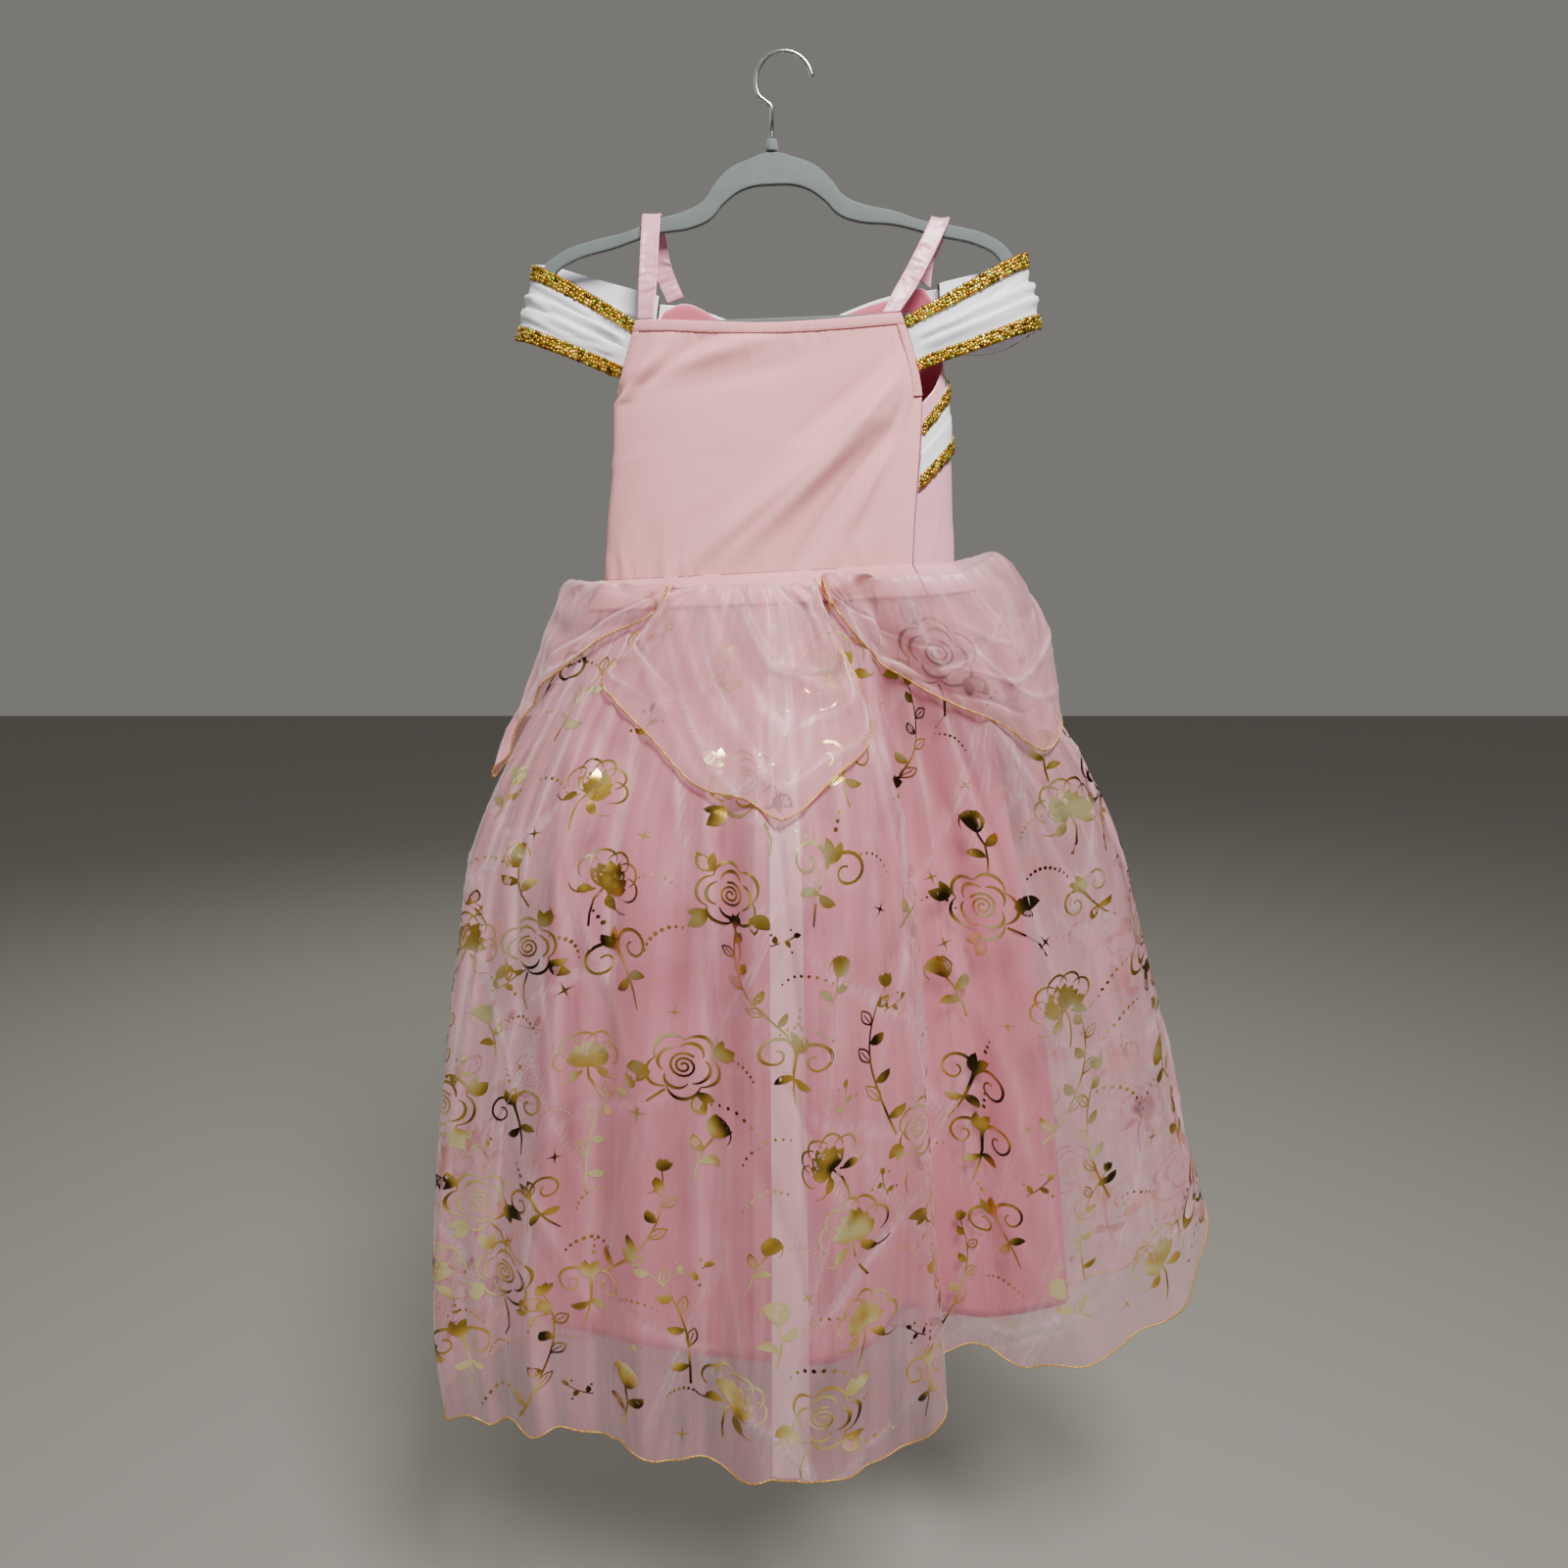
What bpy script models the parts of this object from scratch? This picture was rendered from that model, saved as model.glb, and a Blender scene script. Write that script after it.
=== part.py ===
"""A child's princess costume dress, hung by its straps on a flocked hanger.

Metres, +Z up. The origin is the inside top of the hook, where the hanger hangs.
The back of the dress faces -Y, +X is to the right as it is looked at from there.
Every cloth piece is a grid laid on a form and thickened outwards from it.
"""

import math
from typing import NamedTuple

import bmesh
import bpy
import numpy as np
from mathutils import Matrix, Vector

MM = 0.001

# Cloth
CLOTH = 1.1 * MM
BRAID = 1.6 * MM
SEAM_GAP = 0.3 * MM
HALF_GAP_ANGLE = 0.004
SLEEVE_GAP_ANGLES = {False: -0.055, True: 0.014}
BAND_LIFT = 2.0 * MM
BAND_GAP = 0.007
SKIRT_DROP = 1.2 * MM
MERGE = 0.01 * MM

# Hook
WIRE_RADIUS = 1.75 * MM
HOOK_RADIUS = 24.5 * MM
HOOK_CENTRE = Vector((3.2 * MM, 0.0, -HOOK_RADIUS + WIRE_RADIUS))
HOOK_TIP_ANGLE = math.radians(14)
HOOK_SWING_ANGLE = math.radians(202)
STEM_X = -7.6 * MM
STEM_TOP_Z = -44.0 * MM
COLLAR_RADIUS = 5.2 * MM
COLLAR_TOP_Z = -69.0 * MM
COLLAR_HEIGHT = 10.0 * MM

# Hanger
CROWN = Vector((STEM_X, 0.0, COLLAR_TOP_Z - COLLAR_HEIGHT - SEAM_GAP))
HANGER_THICKNESS = 6.0 * MM
HANGER_ROUNDING = 1.2 * MM
HANGER_TILT = math.radians(2.1)

# Bodice
LEFT_SEAM_ANGLE = -0.25
LEFT_TOP_ANGLE = 0.34
RIGHT_SEAM_X = 119.0 * MM
RIGHT_UNDERARM_X = 125.0 * MM
RIGHT_TOP_X = 106.0 * MM
UNDERARM_Z = -290.0 * MM
ARMHOLE_HEIGHT = 70.0 * MM
BINDING_WIDTH = 9.0 * MM
PANEL_HEIGHT = 220.0 * MM
BINDING_FOOT = 0.68
BINDING_REACH = 0.03
PLEAT = 2.0 * MM

# Skirt
WAIST_Z = -440.0 * MM
WAIST_SLOPE = 0.05
WAIST_SQUARENESS = 2.6
GATHERS = 48
GATHER_HEIGHT = 2.2 * MM
SKIRT_COLUMNS = 2 * GATHERS
SKIRT_ROWS = 11
LINING_EASE = 1.0 * MM
LINING_COLUMNS = 48
LINING_ROWS = 6
PETAL_ROWS = 5
PETAL_GATHER = 1.2 * MM
PETAL_ROOT_LIFT = 1.8 * MM
PETAL_CLEARANCE = 2.5 * MM
FRONT_COLUMNS = 32
FRONT_ROWS = 7


class HangerPoint(NamedTuple):
    """A point of the hanger's outline, from its middle, below its crown."""

    x: float
    z: float


HANGER_OUTSIDE = (
    HangerPoint(0.0, 0.0),
    HangerPoint(20.0, -5.0),
    HangerPoint(38.0, -12.5),
    HangerPoint(52.0, -25.5),
    HangerPoint(61.0, -37.0),
    HangerPoint(76.0, -44.5),
    HangerPoint(106.0, -52.0),
    HangerPoint(130.0, -60.5),
    HangerPoint(162.0, -67.0),
    HangerPoint(188.0, -75.0),
    HangerPoint(206.0, -88.0),
    HangerPoint(212.0, -102.0),
    HangerPoint(208.0, -124.0),
    HangerPoint(194.0, -140.0),
    HangerPoint(165.0, -146.0),
    HangerPoint(80.0, -147.0),
)
HANGER_INSIDE = (
    HangerPoint(0.0, -27.0),
    HangerPoint(26.0, -30.0),
    HangerPoint(44.0, -41.0),
    HangerPoint(56.0, -53.0),
    HangerPoint(72.0, -59.5),
    HangerPoint(106.0, -64.0),
    HangerPoint(142.0, -74.0),
    HangerPoint(180.0, -84.0),
    HangerPoint(196.0, -94.0),
    HangerPoint(201.0, -106.0),
    HangerPoint(197.0, -122.0),
    HangerPoint(184.0, -133.0),
    HangerPoint(160.0, -136.5),
    HangerPoint(80.0, -137.0),
)


class BodiceLevel(NamedTuple):
    """The bodice's ring at one height, in mm."""

    z: float
    middle_x: float
    half_width: float
    half_depth: float


BODICE_LEVELS = (
    BodiceLevel(-460.0, -1.0, 161.0, 37.0),
    BodiceLevel(-400.0, -0.5, 157.5, 36.0),
    BodiceLevel(-340.0, 1.5, 152.5, 34.0),
    BodiceLevel(-290.0, 1.5, 148.0, 32.0),
    BodiceLevel(-240.0, 3.8, 139.8, 31.0),
    BodiceLevel(-180.0, 7.0, 133.0, 31.0),
)


class TopEdge(NamedTuple):
    """The height of a panel's top edge at a place along it, in mm."""

    place: float
    z: float


BACK_TOP = (
    TopEdge(0.00, -221.5),
    TopEdge(0.25, -225.0),
    TopEdge(0.50, -227.0),
    TopEdge(0.75, -223.5),
    TopEdge(1.00, -217.5),
)
FRONT_TOP = (
    TopEdge(0.000, -290.0),
    TopEdge(0.040, -276.0),
    TopEdge(0.075, -258.0),
    TopEdge(0.105, -240.0),
    TopEdge(0.130, -206.0),
    TopEdge(0.160, -188.0),
    TopEdge(0.240, -189.5),
    TopEdge(0.447, -210.0),
    TopEdge(0.588, -234.0),
    TopEdge(0.754, -209.0),
    TopEdge(0.905, -199.0),
    TopEdge(0.930, -206.0),
    TopEdge(0.955, -240.0),
    TopEdge(1.000, -286.0),
)


class SleeveStation(NamedTuple):
    """The top and bottom of a sleeve band at one place round its loop, in mm."""

    place: float
    top_x: float
    top_z: float
    bottom_x: float
    bottom_z: float
    y: float


LEFT_SLEEVE = (
    SleeveStation(0.00, -128.0, -221.0, -142.5, -268.0, -16.0),
    SleeveStation(0.20, -168.0, -199.0, -186.0, -254.0, -20.0),
    SleeveStation(0.40, -209.0, -177.0, -226.0, -240.0, -13.0),
    SleeveStation(0.50, -217.5, -172.0, -235.5, -236.5, 0.0),
    SleeveStation(0.60, -209.0, -169.0, -227.0, -232.0, 13.0),
    SleeveStation(0.80, -172.0, -177.0, -187.0, -243.0, 23.0),
    SleeveStation(1.00, -108.0, -193.0, -112.0, -252.0, 25.0),
)
RIGHT_SLEEVE = (
    SleeveStation(0.00, 106.5, -221.0, 124.0, -265.0, -20.0),
    SleeveStation(0.20, 158.0, -194.0, 176.0, -247.0, -22.0),
    SleeveStation(0.40, 204.0, -168.0, 220.0, -231.0, -13.0),
    SleeveStation(0.50, 216.0, -161.5, 231.5, -226.5, 0.0),
    SleeveStation(0.60, 207.0, -163.0, 232.0, -224.0, 13.0),
    SleeveStation(0.80, 180.0, -173.0, 196.0, -242.0, 23.0),
    SleeveStation(1.00, 141.0, -186.0, 143.0, -247.0, 18.0),
)


class StrapPoint(NamedTuple):
    """A point on the middle line of a strap's underside, in mm."""

    x: float
    y: float
    z: float


LEFT_STRAP = (
    StrapPoint(-115.8, -14.0, -180.0),
    StrapPoint(-113.8, -7.0, -142.0),
    StrapPoint(-113.4, -4.6, -134.0),
    StrapPoint(-113.0, 0.0, -130.6),
    StrapPoint(-112.6, 4.6, -134.0),
    StrapPoint(-111.0, 9.0, -145.0),
    StrapPoint(-106.0, 18.0, -172.0),
)
RIGHT_STRAP = (
    StrapPoint(118.0, -14.0, -180.0),
    StrapPoint(136.5, -7.0, -143.0),
    StrapPoint(139.5, -4.6, -136.5),
    StrapPoint(140.7, 0.0, -133.2),
    StrapPoint(140.2, 4.6, -136.5),
    StrapPoint(137.5, 9.0, -147.0),
    StrapPoint(130.0, 17.0, -166.0),
)
STRAP_WIDTH = 16.0 * MM
BACK_STRAP_PLACES = {"left": 0.042, "right": 0.962}
FRONT_STRAP_PLACES = {"left": 0.895, "right": 0.172}
STRAP_GAP = 0.9 * MM
STRAP_TURN = 0.22
STRAP_PROBE = 0.01


class BandPlace(NamedTuple):
    """The lower and upper edge of a band on the front panel at one place, in mm."""

    place: float
    low_z: float
    high_z: float


NECKLINE_BAND = (
    BandPlace(4 / 32, -246.0, -190.0),
    BandPlace(0.200, -244.0, -189.0),
    BandPlace(0.447, -260.0, -211.0),
    BandPlace(0.588, -283.0, -235.0),
    BandPlace(0.754, -261.0, -210.0),
    BandPlace(0.880, -251.0, -200.5),
    BandPlace(30 / 32, -252.0, -200.0),
)
SIDE_BAND = (
    BandPlace(0.000, -369.0, -310.0),
    BandPlace(0.080, -339.0, -277.0),
    BandPlace(0.150, -323.0, -263.0),
    BandPlace(0.350, -331.0, -273.0),
    BandPlace(0.588, -354.0, -299.0),
    BandPlace(0.800, -333.0, -276.0),
    BandPlace(0.930, -324.0, -266.0),
    BandPlace(0.965, -334.0, -277.0),
    BandPlace(1.000, -350.0, -293.0),
)
BRAID_SHARE = 0.2
SLEEVE_COLUMNS = 28
SLEEVE_ROWS = 5


class SkirtStation(NamedTuple):
    """One place round a skirt: its share of the waist and its point on the hem, in mm."""

    share: float
    x: float
    y: float
    z: float


OVERSKIRT_STATIONS = (
    SkirtStation(0.000, -349.0, -30.0, -1266.0),
    SkirtStation(0.055, -300.0, -82.0, -1259.0),
    SkirtStation(0.120, -215.0, -98.0, -1255.0),
    SkirtStation(0.180, -105.0, -122.0, -1266.0),
    SkirtStation(0.230, -12.0, -138.0, -1274.0),
    SkirtStation(0.270, 48.0, -140.0, -1278.0),
    SkirtStation(0.305, 118.0, -112.0, -1268.0),
    SkirtStation(0.335, 166.0, -56.0, -1264.0),
    SkirtStation(0.355, 142.0, -14.0, -1250.0),
    SkirtStation(0.375, 190.0, 2.0, -1240.0),
    SkirtStation(0.405, 255.0, -16.0, -1248.0),
    SkirtStation(0.440, 335.0, -22.0, -1229.0),
    SkirtStation(0.475, 412.0, -6.0, -1190.0),
    SkirtStation(0.510, 450.0, 30.0, -1110.0),
    SkirtStation(0.580, 375.0, 58.0, -1180.0),
    SkirtStation(0.670, 205.0, 60.0, -1240.0),
    SkirtStation(0.760, 0.0, 56.0, -1262.0),
    SkirtStation(0.850, -175.0, 58.0, -1264.0),
    SkirtStation(0.945, -310.0, 34.0, -1264.0),
)
LINING_STATIONS = (
    SkirtStation(0.00, -252.0, -12.0, -1192.0),
    SkirtStation(0.10, -178.0, -52.0, -1188.0),
    SkirtStation(0.20, -60.0, -78.0, -1192.0),
    SkirtStation(0.28, 50.0, -78.0, -1198.0),
    SkirtStation(0.33, 98.0, -40.0, -1200.0),
    SkirtStation(0.37, 128.0, 14.0, -1204.0),
    SkirtStation(0.43, 215.0, 10.0, -1210.0),
    SkirtStation(0.50, 306.0, 26.0, -1204.0),
    SkirtStation(0.60, 215.0, 42.0, -1206.0),
    SkirtStation(0.75, 0.0, 38.0, -1200.0),
    SkirtStation(0.90, -190.0, 36.0, -1196.0),
)


class SkirtLevel(NamedTuple):
    """How far a skirt has spread from waist to hem at one drop, on each side."""

    drop: float
    left: float
    right: float


OVERSKIRT_LEVELS = (
    SkirtLevel(0.00, 0.00, 0.00),
    SkirtLevel(0.04, 0.10, 0.09),
    SkirtLevel(0.10, 0.25, 0.21),
    SkirtLevel(0.19, 0.47, 0.34),
    SkirtLevel(0.28, 0.65, 0.48),
    SkirtLevel(0.42, 0.76, 0.63),
    SkirtLevel(0.55, 0.85, 0.71),
    SkirtLevel(0.69, 0.94, 0.80),
    SkirtLevel(0.83, 1.00, 0.88),
    SkirtLevel(0.93, 1.01, 0.95),
    SkirtLevel(1.00, 0.98, 1.00),
)
LINING_LEVELS = (
    SkirtLevel(0.00, 0.00, 0.00),
    SkirtLevel(0.10, 0.22, 0.16),
    SkirtLevel(0.25, 0.50, 0.36),
    SkirtLevel(0.50, 0.76, 0.64),
    SkirtLevel(1.00, 1.00, 1.00),
)


class Fold(NamedTuple):
    """A soft vertical fold: where it runs round the skirt, its reach and its depth."""

    share: float
    width: float
    depth: float
    top: float


OVERSKIRT_FOLDS = (
    Fold(0.030, 0.014, 9.0, 0.20),
    Fold(0.075, 0.012, -8.0, 0.35),
    Fold(0.105, 0.013, 11.0, 0.15),
    Fold(0.140, 0.010, -9.0, 0.10),
    Fold(0.165, 0.010, 10.0, 0.25),
    Fold(0.200, 0.010, -9.0, 0.12),
    Fold(0.222, 0.008, 9.0, 0.10),
    Fold(0.250, 0.009, -8.0, 0.30),
    Fold(0.290, 0.010, -9.0, 0.20),
    Fold(0.392, 0.009, -7.0, 0.20),
    Fold(0.425, 0.010, 8.0, 0.25),
    Fold(0.458, 0.010, -8.0, 0.15),
    Fold(0.545, 0.016, -6.0, 0.20),
    Fold(0.625, 0.016, -7.0, 0.30),
    Fold(0.715, 0.016, -6.0, 0.15),
    Fold(0.805, 0.018, -7.0, 0.25),
    Fold(0.900, 0.016, -6.0, 0.20),
)
HEM_WAVES = 27
HEM_WAVE_HEIGHT = 4.0 * MM


class PetalPoint(NamedTuple):
    """A point of a petal's free edge: its share of the waist and its drop."""

    share: float
    drop: float


class Petal(NamedTuple):
    """A puffed petal sewn into the waist seam between two shares of it."""

    name: str
    root_start: float
    root_end: float
    puff: float
    edge: tuple


PETALS = (
    Petal(
        "petal_back",
        12 / 96,
        28 / 96,
        20.0 * MM,
        (
            PetalPoint(0.119, 0.030),
            PetalPoint(0.100, 0.070),
            PetalPoint(0.084, 0.110),
            PetalPoint(0.108, 0.136),
            PetalPoint(0.145, 0.172),
            PetalPoint(0.184, 0.220),
            PetalPoint(0.217, 0.233),
            PetalPoint(0.247, 0.250),
            PetalPoint(0.284, 0.212),
            PetalPoint(0.313, 0.180),
            PetalPoint(0.311, 0.120),
            PetalPoint(0.304, 0.078),
            PetalPoint(0.292, 0.030),
        ),
    ),
    Petal(
        "petal_right",
        29 / 96,
        59 / 96,
        18.0 * MM,
        (
            PetalPoint(0.299, 0.020),
            PetalPoint(0.311, 0.048),
            PetalPoint(0.330, 0.080),
            PetalPoint(0.399, 0.140),
            PetalPoint(0.443, 0.180),
            PetalPoint(0.466, 0.222),
            PetalPoint(0.492, 0.205),
            PetalPoint(0.540, 0.170),
            PetalPoint(0.590, 0.120),
            PetalPoint(0.618, 0.070),
            PetalPoint(0.620, 0.025),
        ),
    ),
    Petal(
        "petal_left",
        -17 / 96,
        11 / 96,
        16.0 * MM,
        (
            PetalPoint(-0.190, 0.025),
            PetalPoint(-0.180, 0.070),
            PetalPoint(-0.130, 0.120),
            PetalPoint(-0.070, 0.170),
            PetalPoint(-0.020, 0.205),
            PetalPoint(0.003, 0.222),
            PetalPoint(0.007, 0.180),
            PetalPoint(0.012, 0.140),
            PetalPoint(0.026, 0.105),
            PetalPoint(0.068, 0.062),
            PetalPoint(0.100, 0.046),
            PetalPoint(0.114, 0.025),
        ),
    ),
    Petal(
        "petal_front",
        62 / 96,
        76 / 96,
        10.0 * MM,
        (
            PetalPoint(0.638, 0.030),
            PetalPoint(0.632, 0.110),
            PetalPoint(0.650, 0.180),
            PetalPoint(0.720, 0.250),
            PetalPoint(0.785, 0.180),
            PetalPoint(0.803, 0.110),
            PetalPoint(0.797, 0.030),
        ),
    ),
)

PINK_KNIT = ("pink knit", (0.68, 0.45, 0.46), 0.9, 0.0)
PINK_BINDING = ("pink binding", (0.66, 0.40, 0.41), 0.9, 0.0)
PINK_SATIN = ("pink satin", (0.68, 0.40, 0.48), 0.4, 0.0)
ROSE_LINING = ("rose lining", (0.26, 0.03, 0.06), 0.7, 0.0)
WHITE_SATIN = ("white satin", (0.80, 0.80, 0.84), 0.4, 0.0)
GOLD_BRAID = ("gold braid", (0.55, 0.33, 0.05), 0.35, 0.8)
PINK_LINING = ("pink lining cloth", (0.72, 0.34, 0.40), 0.8, 0.0)
ORGANZA = ("pink organza", (0.80, 0.52, 0.56), 0.5, 0.0)
GREY_FLOCK = ("grey flock", (0.24, 0.27, 0.27), 0.95, 0.0)
CHROME = ("chrome", (0.62, 0.64, 0.65), 0.2, 1.0)


class Track:
    """A smooth curve through rows of numbers, read at any key from first to last."""

    def __init__(self, keys, rows, closed=False):
        keys, rows = np.array(keys, float), np.array(rows, float)
        if closed:
            keys = np.concatenate((keys[-2:] - 1.0, keys, keys[:2] + 1.0))
            rows = np.concatenate((rows[-2:], rows, rows[:2]))
        self.keys, self.rows = keys, rows
        self.slopes = np.gradient(rows, keys, axis=0)

    def at(self, key):
        """The row at one key."""
        last = len(self.keys) - 2
        i = int(np.clip(np.searchsorted(self.keys, key, side="right") - 1, 0, last))
        step = self.keys[i + 1] - self.keys[i]
        t = (key - self.keys[i]) / step
        start, end = self.rows[i], self.rows[i + 1]
        leave, arrive = self.slopes[i] * step, self.slopes[i + 1] * step
        return (
            (2 * t**3 - 3 * t**2 + 1) * start
            + (t**3 - 2 * t**2 + t) * leave
            + (3 * t**2 - 2 * t**3) * end
            + (t**3 - t**2) * arrive
        )


def track(rows, closed=False):
    """A Track keyed by the first column of a table."""
    return Track([row[0] for row in rows], [row[1:] for row in rows], closed)


def bell(distance, width):
    """A smooth bump of height 1 that fades over a width."""
    return math.exp(-((distance / width) ** 2))


def rise(value, start, end):
    """0 before the start, 1 after the end, smooth between."""
    t = min(max((value - start) / (end - start), 0.0), 1.0)
    return t * t * (3 - 2 * t)


def moved_out(place, distance):
    """The same surface moved out along its normals, by a distance or a function."""

    def lifted(u, v):
        step = 0.002
        across = place(u + step, v) - place(u - step, v)
        up = place(u, v + step) - place(u, v - step)
        lift = distance(u, v) if callable(distance) else distance
        return place(u, v) + across.cross(up).normalized() * lift

    return lifted


def patch(place, u_range, v_range):
    """A part of a surface as a surface of its own."""

    def part(u, v):
        return place(
            u_range[0] + (u_range[1] - u_range[0]) * u,
            v_range[0] + (v_range[1] - v_range[0]) * v,
        )

    return part


BODICE = track(BODICE_LEVELS)


def ring_point(angle, middle_x, half_width, half_depth):
    """A point of a rounded oval ring: angle 0 is its left end, a quarter turn its back."""
    power = 2.0 / WAIST_SQUARENESS
    c, s = math.cos(angle), math.sin(angle)
    x = middle_x - half_width * math.copysign(abs(c) ** power, c)
    return x, -half_depth * math.copysign(abs(s) ** power, s)


def even_angles(middle_x, half_width, half_depth):
    """Shares of an oval ring's length, and the angle at each of them."""
    angles = np.linspace(0, 2 * math.pi, 721)
    points = np.array([ring_point(a, middle_x, half_width, half_depth) for a in angles])
    lengths = np.concatenate(([0], np.cumsum(np.hypot(*np.diff(points, axis=0).T))))
    return lengths / lengths[-1], angles


BODICE_SHARES = even_angles(*BODICE_LEVELS[2][1:])


def bodice_point(angle, z):
    """A point of the bodice's form at an angle round it and a height."""
    middle_x, half_width, half_depth = BODICE.at(z / MM) * MM
    x, y = ring_point(angle, middle_x, half_width, half_depth)
    return Vector((x, y, z))


def bodice_outward(angle, z):
    """The level direction out of the bodice at an angle."""
    step = 0.01
    along = bodice_point(angle + step, z) - bodice_point(angle - step, z)
    return along.cross(Vector((0, 0, 1))).normalized()


def seam_angle(x, z):
    """The angle of a place on the bodice's back, from its x."""
    middle_x, half_width, _ = BODICE.at(z / MM) * MM
    c = (middle_x - x) / half_width
    return math.acos(math.copysign(abs(c) ** (WAIST_SQUARENESS / 2), c))


def waist_z(x):
    """The height of the waist seam."""
    return WAIST_Z + WAIST_SLOPE * x


def side_angle(right, z):
    """The angle of a side edge of the back panel: its side seam, then its armhole."""
    above = max(z - UNDERARM_Z, 0.0) / ARMHOLE_HEIGHT
    if not right:
        return LEFT_SEAM_ANGLE + (LEFT_TOP_ANGLE - LEFT_SEAM_ANGLE) * above**0.6
    seam = RIGHT_SEAM_X + (RIGHT_UNDERARM_X - RIGHT_SEAM_X) * rise(z, WAIST_Z, UNDERARM_Z)
    return seam_angle(seam + (RIGHT_TOP_X - RIGHT_UNDERARM_X) * above**1.4, z)


def angle_between(start, end, place):
    """The angle at an even place between two angles of the bodice's ring."""
    lengths, angles = BODICE_SHARES
    turns = np.concatenate((angles - 2 * math.pi, angles[1:]))
    run = np.concatenate((lengths - 1, lengths[1:]))
    first, last = np.interp((start, end), turns, run)
    return float(np.interp(first + (last - first) * place, run, turns))


def front_angle(place, z):
    """The angle of a place on the front panel, from its right seam to its left."""
    start = side_angle(True, min(z, UNDERARM_Z)) + HALF_GAP_ANGLE
    end = 2 * math.pi + side_angle(False, min(z, UNDERARM_Z)) - HALF_GAP_ANGLE
    return angle_between(start, end, place)


BACK_EDGE = track(BACK_TOP)
FRONT_EDGE = track(FRONT_TOP)


def back_panel(u, v):
    """The back panel: u runs from its left edge to its right, v from waist to top."""
    z = WAIST_Z + (BACK_EDGE.at(u)[0] * MM - WAIST_Z) * v
    left, right = side_angle(False, z) + HALF_GAP_ANGLE, side_angle(True, z) - HALF_GAP_ANGLE
    point = bodice_point(angle_between(left, right, u), z)
    point.z += WAIST_SLOPE * point.x * (1 - v)
    return point


def front_panel(u, v):
    """The front panel: u runs from the right seam round the front to the left seam."""
    z = WAIST_Z + (FRONT_EDGE.at(u)[0] * MM - WAIST_Z) * v
    point = bodice_point(front_angle(u, z), z)
    point.z += WAIST_SLOPE * point.x * (1 - v)
    return point


def on_bodice(angle, z, out):
    """A point on the bodice's form, moved out from it."""
    return bodice_point(angle, z) + bodice_outward(angle, z) * out


def sleeve(right):
    """The surface of a sleeve band, u round its loop and v from bottom to top."""
    path = track(RIGHT_SLEEVE if right else LEFT_SLEEVE)
    side = 1 if right else -1
    band_end = NECKLINE_BAND[0] if right else NECKLINE_BAND[-1]
    end_place = band_end.place - side * BAND_GAP

    def loop(u, v):
        top_x, top_z, bottom_x, bottom_z, y = path.at(u) * MM
        x = bottom_x + (top_x - bottom_x) * v
        return Vector((x, y, bottom_z + (top_z - bottom_z) * v))

    def place(u, v):
        if not right:
            u = 1 - u
        point = loop(u, v)
        root, tip = loop(0, v), loop(1, v)
        edge = on_bodice(side_angle(right, root.z) + SLEEVE_GAP_ANGLES[right], root.z, 0)
        front = on_bodice(front_angle(end_place, tip.z), tip.z, BAND_LIFT)
        point += (edge - root) * (1 - rise(u, 0, 0.25))
        point += (front - tip) * rise(u, 0.75, 1.0)
        tuck = PLEAT * (bell(v - 0.45, 0.07) - bell(v - 0.6, 0.07))
        point.y += (tuck if u > 0.5 else -tuck) * rise(abs(u - 0.5), 0.1, 0.25)
        return point

    return place


def band(rows):
    """The surface of a band over the front panel, v from its lower edge to its upper."""
    edges = track(rows)
    first, last = rows[0].place, rows[-1].place

    def place(u, v):
        along = first + (last - first) * u
        low, high = edges.at(along) * MM
        z = low + (high - low) * v
        return on_bodice(front_angle(along, z), z, BAND_LIFT)

    return place


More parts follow.
